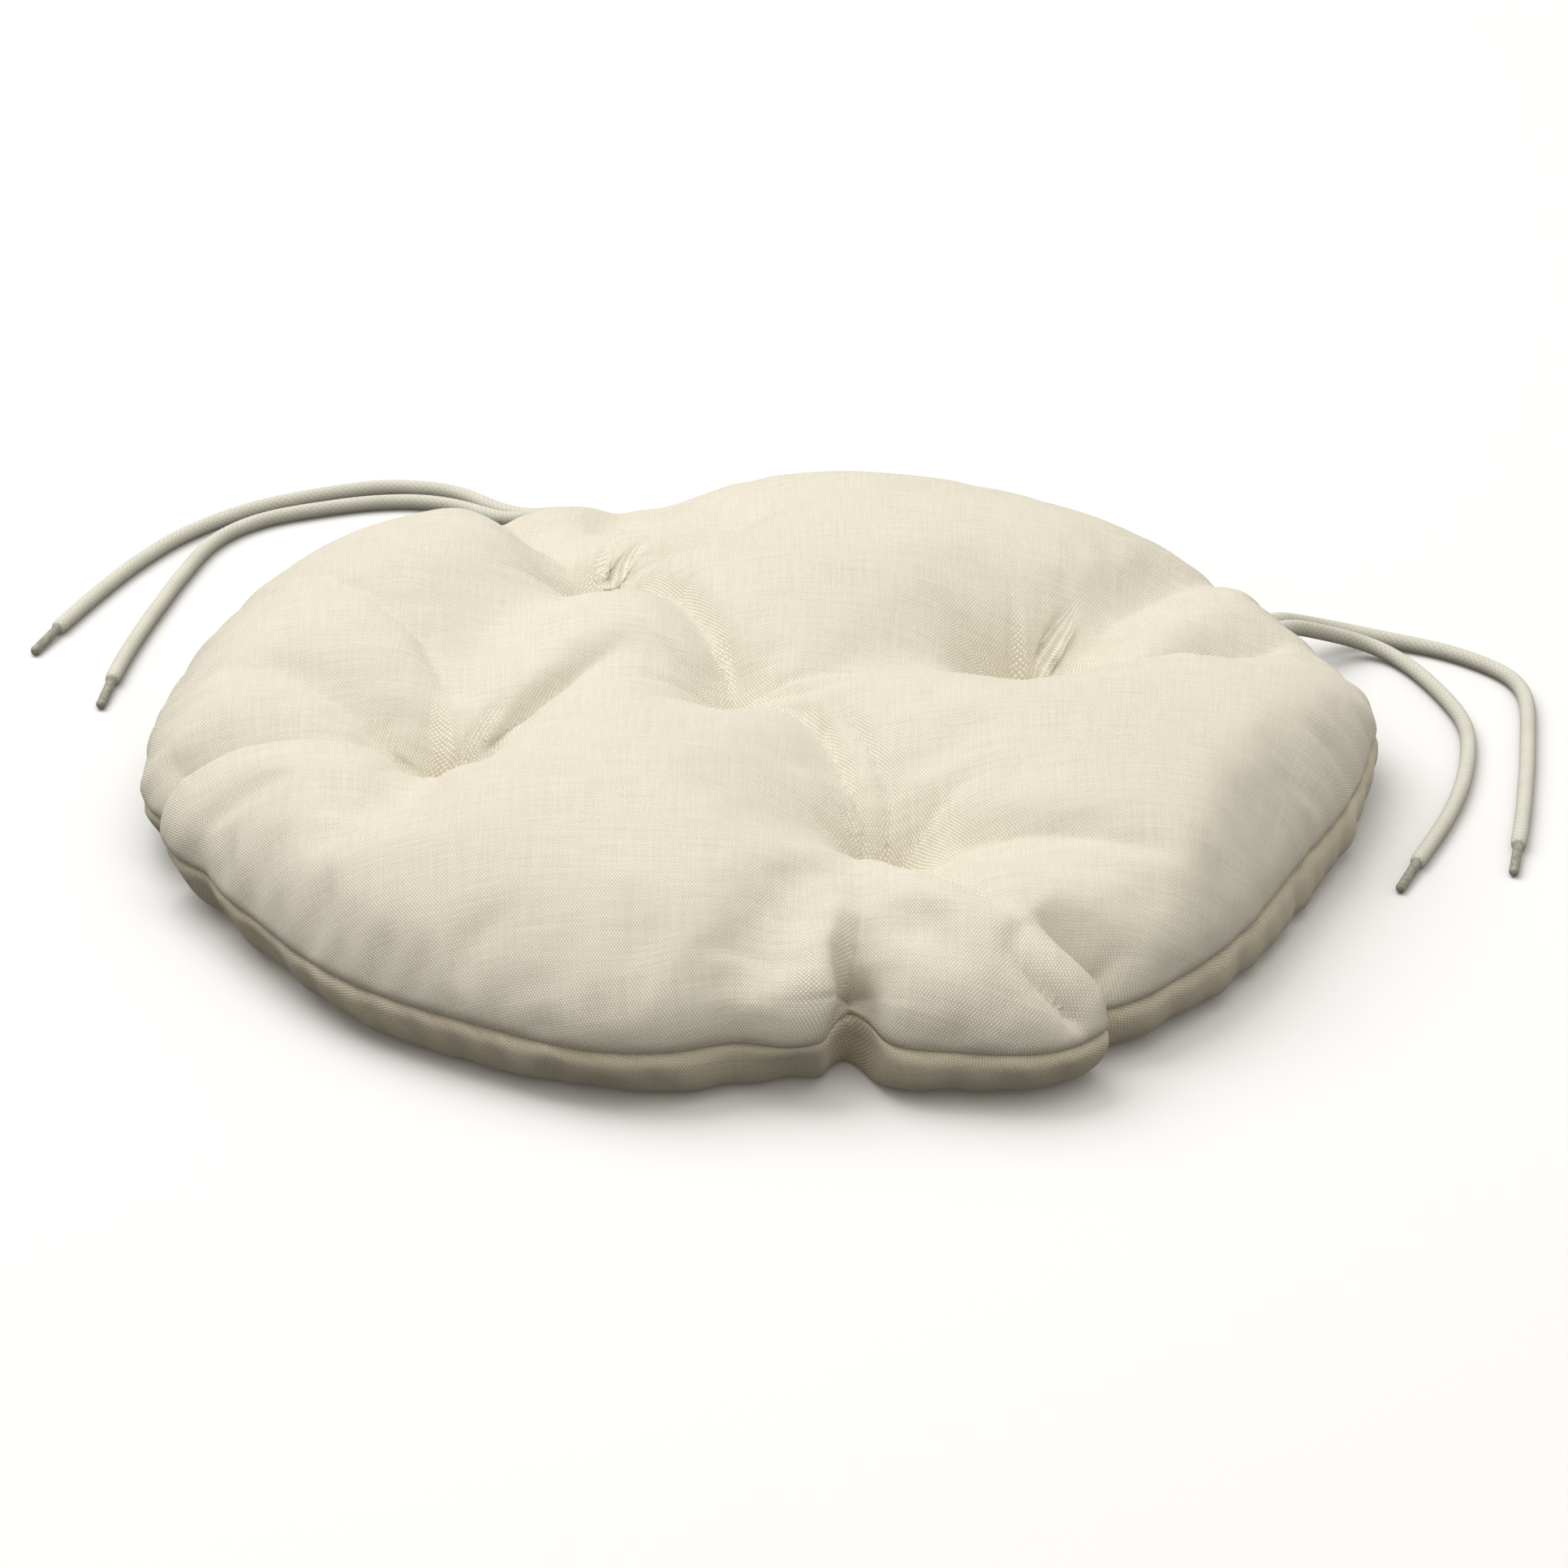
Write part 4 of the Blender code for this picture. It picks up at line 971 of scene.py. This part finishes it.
def makeTuftThread(name, place, high, low, setup, finish):
    # an arch: up one leg from the knot, over the stitch in the pit and down the other leg to the knot
    half = setup["legs"] / 2
    turn = np.linspace(math.pi, 0.0, 15)
    arch = np.stack([half * np.cos(turn), np.zeros(15), high + 0.0006 * np.sin(turn)], axis=1)
    rise = np.linspace(low - 0.0022, high - 0.0002, 40)
    left = np.stack([np.full(40, -half), np.zeros(40), rise], axis=1)
    right = left[::-1] * np.array([-1.0, 1.0, 1.0])
    path = np.concatenate([left, arch[1:-1], right]) + np.array([*place, 0.0])
    fromEnd = np.minimum(np.arange(len(path)), np.arange(len(path))[::-1]) * (rise[1] - rise[0])
    swell = np.sqrt(np.clip(1.0 - ((fromEnd - setup["knot"]) / setup["knot"]) ** 2, 0.0, 1.0))
    radius = np.maximum(setup["twine"] * (fromEnd > setup["knot"]), setup["knot"] * swell)
    return carriedTube(name, path, np.repeat(np.maximum(radius, 0.0001)[:, None], 12, axis=1), finish)


fibre = makeFibreFinish(innerSetup["fill"])
thread = makeThreadFinish(innerSetup["thread"])
perSide = coverSetup["cells"] + 1
coarse = np.arange(perSide**2).reshape(perSide, perSide)[::2, ::2].ravel()
coarseFaces, coarseOrder = discGrid(coverSetup["cells"] // 2)[2:]
filling = makeFilling(
    topPoints[coarse], underPoints[coarse], topFold[coarse], coarseFaces, coarseOrder, innerSetup, fibre
)
inner = [(filling, "filling", "fibre_fill")]
seamRing = topPoints[seamOrder]
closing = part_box("closing_thread")
halfArc = math.degrees(math.asin(min(0.99, closing[1].x / (padRadius - 0.004))))
arcs = [
    ("seamThread", 90.5 + halfArc, 89.5 - halfArc, "seam_thread"),
    ("closingThread", 90.0 - halfArc, 90.0 + halfArc, "closing_thread"),
]
for name, start, end, node in arcs:
    inner.append((makeSeamThread(name, seamRing, start, end, innerSetup, thread), node, "thread"))
for word, (x, y, *_) in tufts.items():
    high = topPoints[np.argsort(np.hypot(topPoints[:, 0] - x, topPoints[:, 1] - y))[:12], 2].min()
    low = underPoints[np.argmin(np.hypot(underPoints[:, 0] - x, underPoints[:, 1] - y)), 2]
    piece = makeTuftThread("tuftThread_" + word, (x, y), high, low, innerSetup, thread)
    inner.append((piece, "tuft_thread_" + word, "thread"))
for piece, node, slot in inner:
    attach(piece, "pad")
    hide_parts(node)
print("inner pieces made")


def makeStubFinish(setup):
    # the braid again, for the short ends that lie under the seam
    finish = Finish("tieStub", roughness=0.85, sheen=0.1)
    place = finish.objectPlace()
    strands = finish.noise(finish.map(place, (900.0, 900.0, 900.0)), 1.0, detail=2.0)
    finish.colour(finish.mix(finish.clamp(strands, 0.35, 0.65), setup["dark"], setup["light"]))
    finish.relief(strands, 0.0002)
    return finish


stub = makeStubFinish(braidSetup)
for word in ("left", "right"):
    for node, finish in (("tie_root_" + word, stub), ("bar_tack_" + word, thread)):
        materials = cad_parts[node].data.materials
        materials.clear()
        materials.append(finish.material)


# Floor and lights
stageSetup = {
    "floorColour": (0.83, 0.83, 0.83),
    "floorSize": 14.0,
    "keyAzimuth": 155.0,
    "keyElevation": 55.0,
    "keyDistance": 2.4,
    "keySize": 2.2,
    "keyPower": 36.0,
    "topHeight": 2.4,
    "topPower": 14.0,
    "frontAzimuth": -35.0,
    "frontElevation": 42.0,
    "frontSize": 3.08,
    "frontPower": 7.0,
    "groundLight": 0.10,  # up to a little below the horizon
    "skyLight": 0.62,  # from some way above it
    "groundEdge": -0.1,
    "skyEdge": 0.4,
    "worldTint": (1.0, 0.96, 0.89),
}


def addArea(name, place, size, power):
    light = bpy.data.lights.new(name, "AREA")
    light.shape = "DISK"
    light.size = size
    light.energy = power
    lamp = bpy.data.objects.new(name, light)
    bpy.context.scene.collection.objects.link(lamp)
    lamp.location = place
    lamp.rotation_euler = Vector(place).to_track_quat("Z", "Y").to_euler()


def addStage(setup):
    half = setup["floorSize"] / 2
    finish = Finish("floorPaint", roughness=0.9, specular=0.1)
    grain = finish.noise(finish.objectPlace(), 3.0)
    tone = setup["floorColour"]
    finish.colour(finish.mix(grain * 0.02, tone, tuple(c * 0.97 for c in tone)))
    corners = np.array([(-half, -half, 0.0), (half, -half, 0.0), (half, half, 0.0), (-half, half, 0.0)])
    floor = addMesh("floor", corners, [np.array([[0, 1, 2, 3]])], finish)
    floor.visible_diffuse = False
    towards = direction(setup["keyAzimuth"], setup["keyElevation"])
    addArea("key", towards * setup["keyDistance"], setup["keySize"], setup["keyPower"])
    addArea("top", Vector((0.0, 0.0, setup["topHeight"])), setup["topHeight"], setup["topPower"])
    towards = direction(setup["frontAzimuth"], setup["frontElevation"])
    addArea("front", towards * setup["keyDistance"], setup["frontSize"], setup["frontPower"])
    # the room is brighter above the horizon than below it
    world = bpy.data.worlds.new("studio")
    world.use_nodes = True
    tree = world.node_tree
    back = tree.nodes["Background"]
    back.inputs[0].default_value = (*setup["worldTint"], 1.0)
    place = tree.nodes.new("ShaderNodeTexCoord")
    parts = tree.nodes.new("ShaderNodeSeparateXYZ")
    ramp = tree.nodes.new("ShaderNodeMapRange")
    for number, word in enumerate(("groundEdge", "skyEdge", "groundLight", "skyLight"), start=1):
        ramp.inputs[number].default_value = setup[word]
    tree.links.new(place.outputs["Generated"], parts.inputs[0])
    tree.links.new(parts.outputs[2], ramp.inputs[0])
    tree.links.new(ramp.outputs[0], back.inputs[1])
    bpy.context.scene.world = world
    bpy.context.scene.view_settings.view_transform = "Standard"


addStage(stageSetup)
print("stage made")
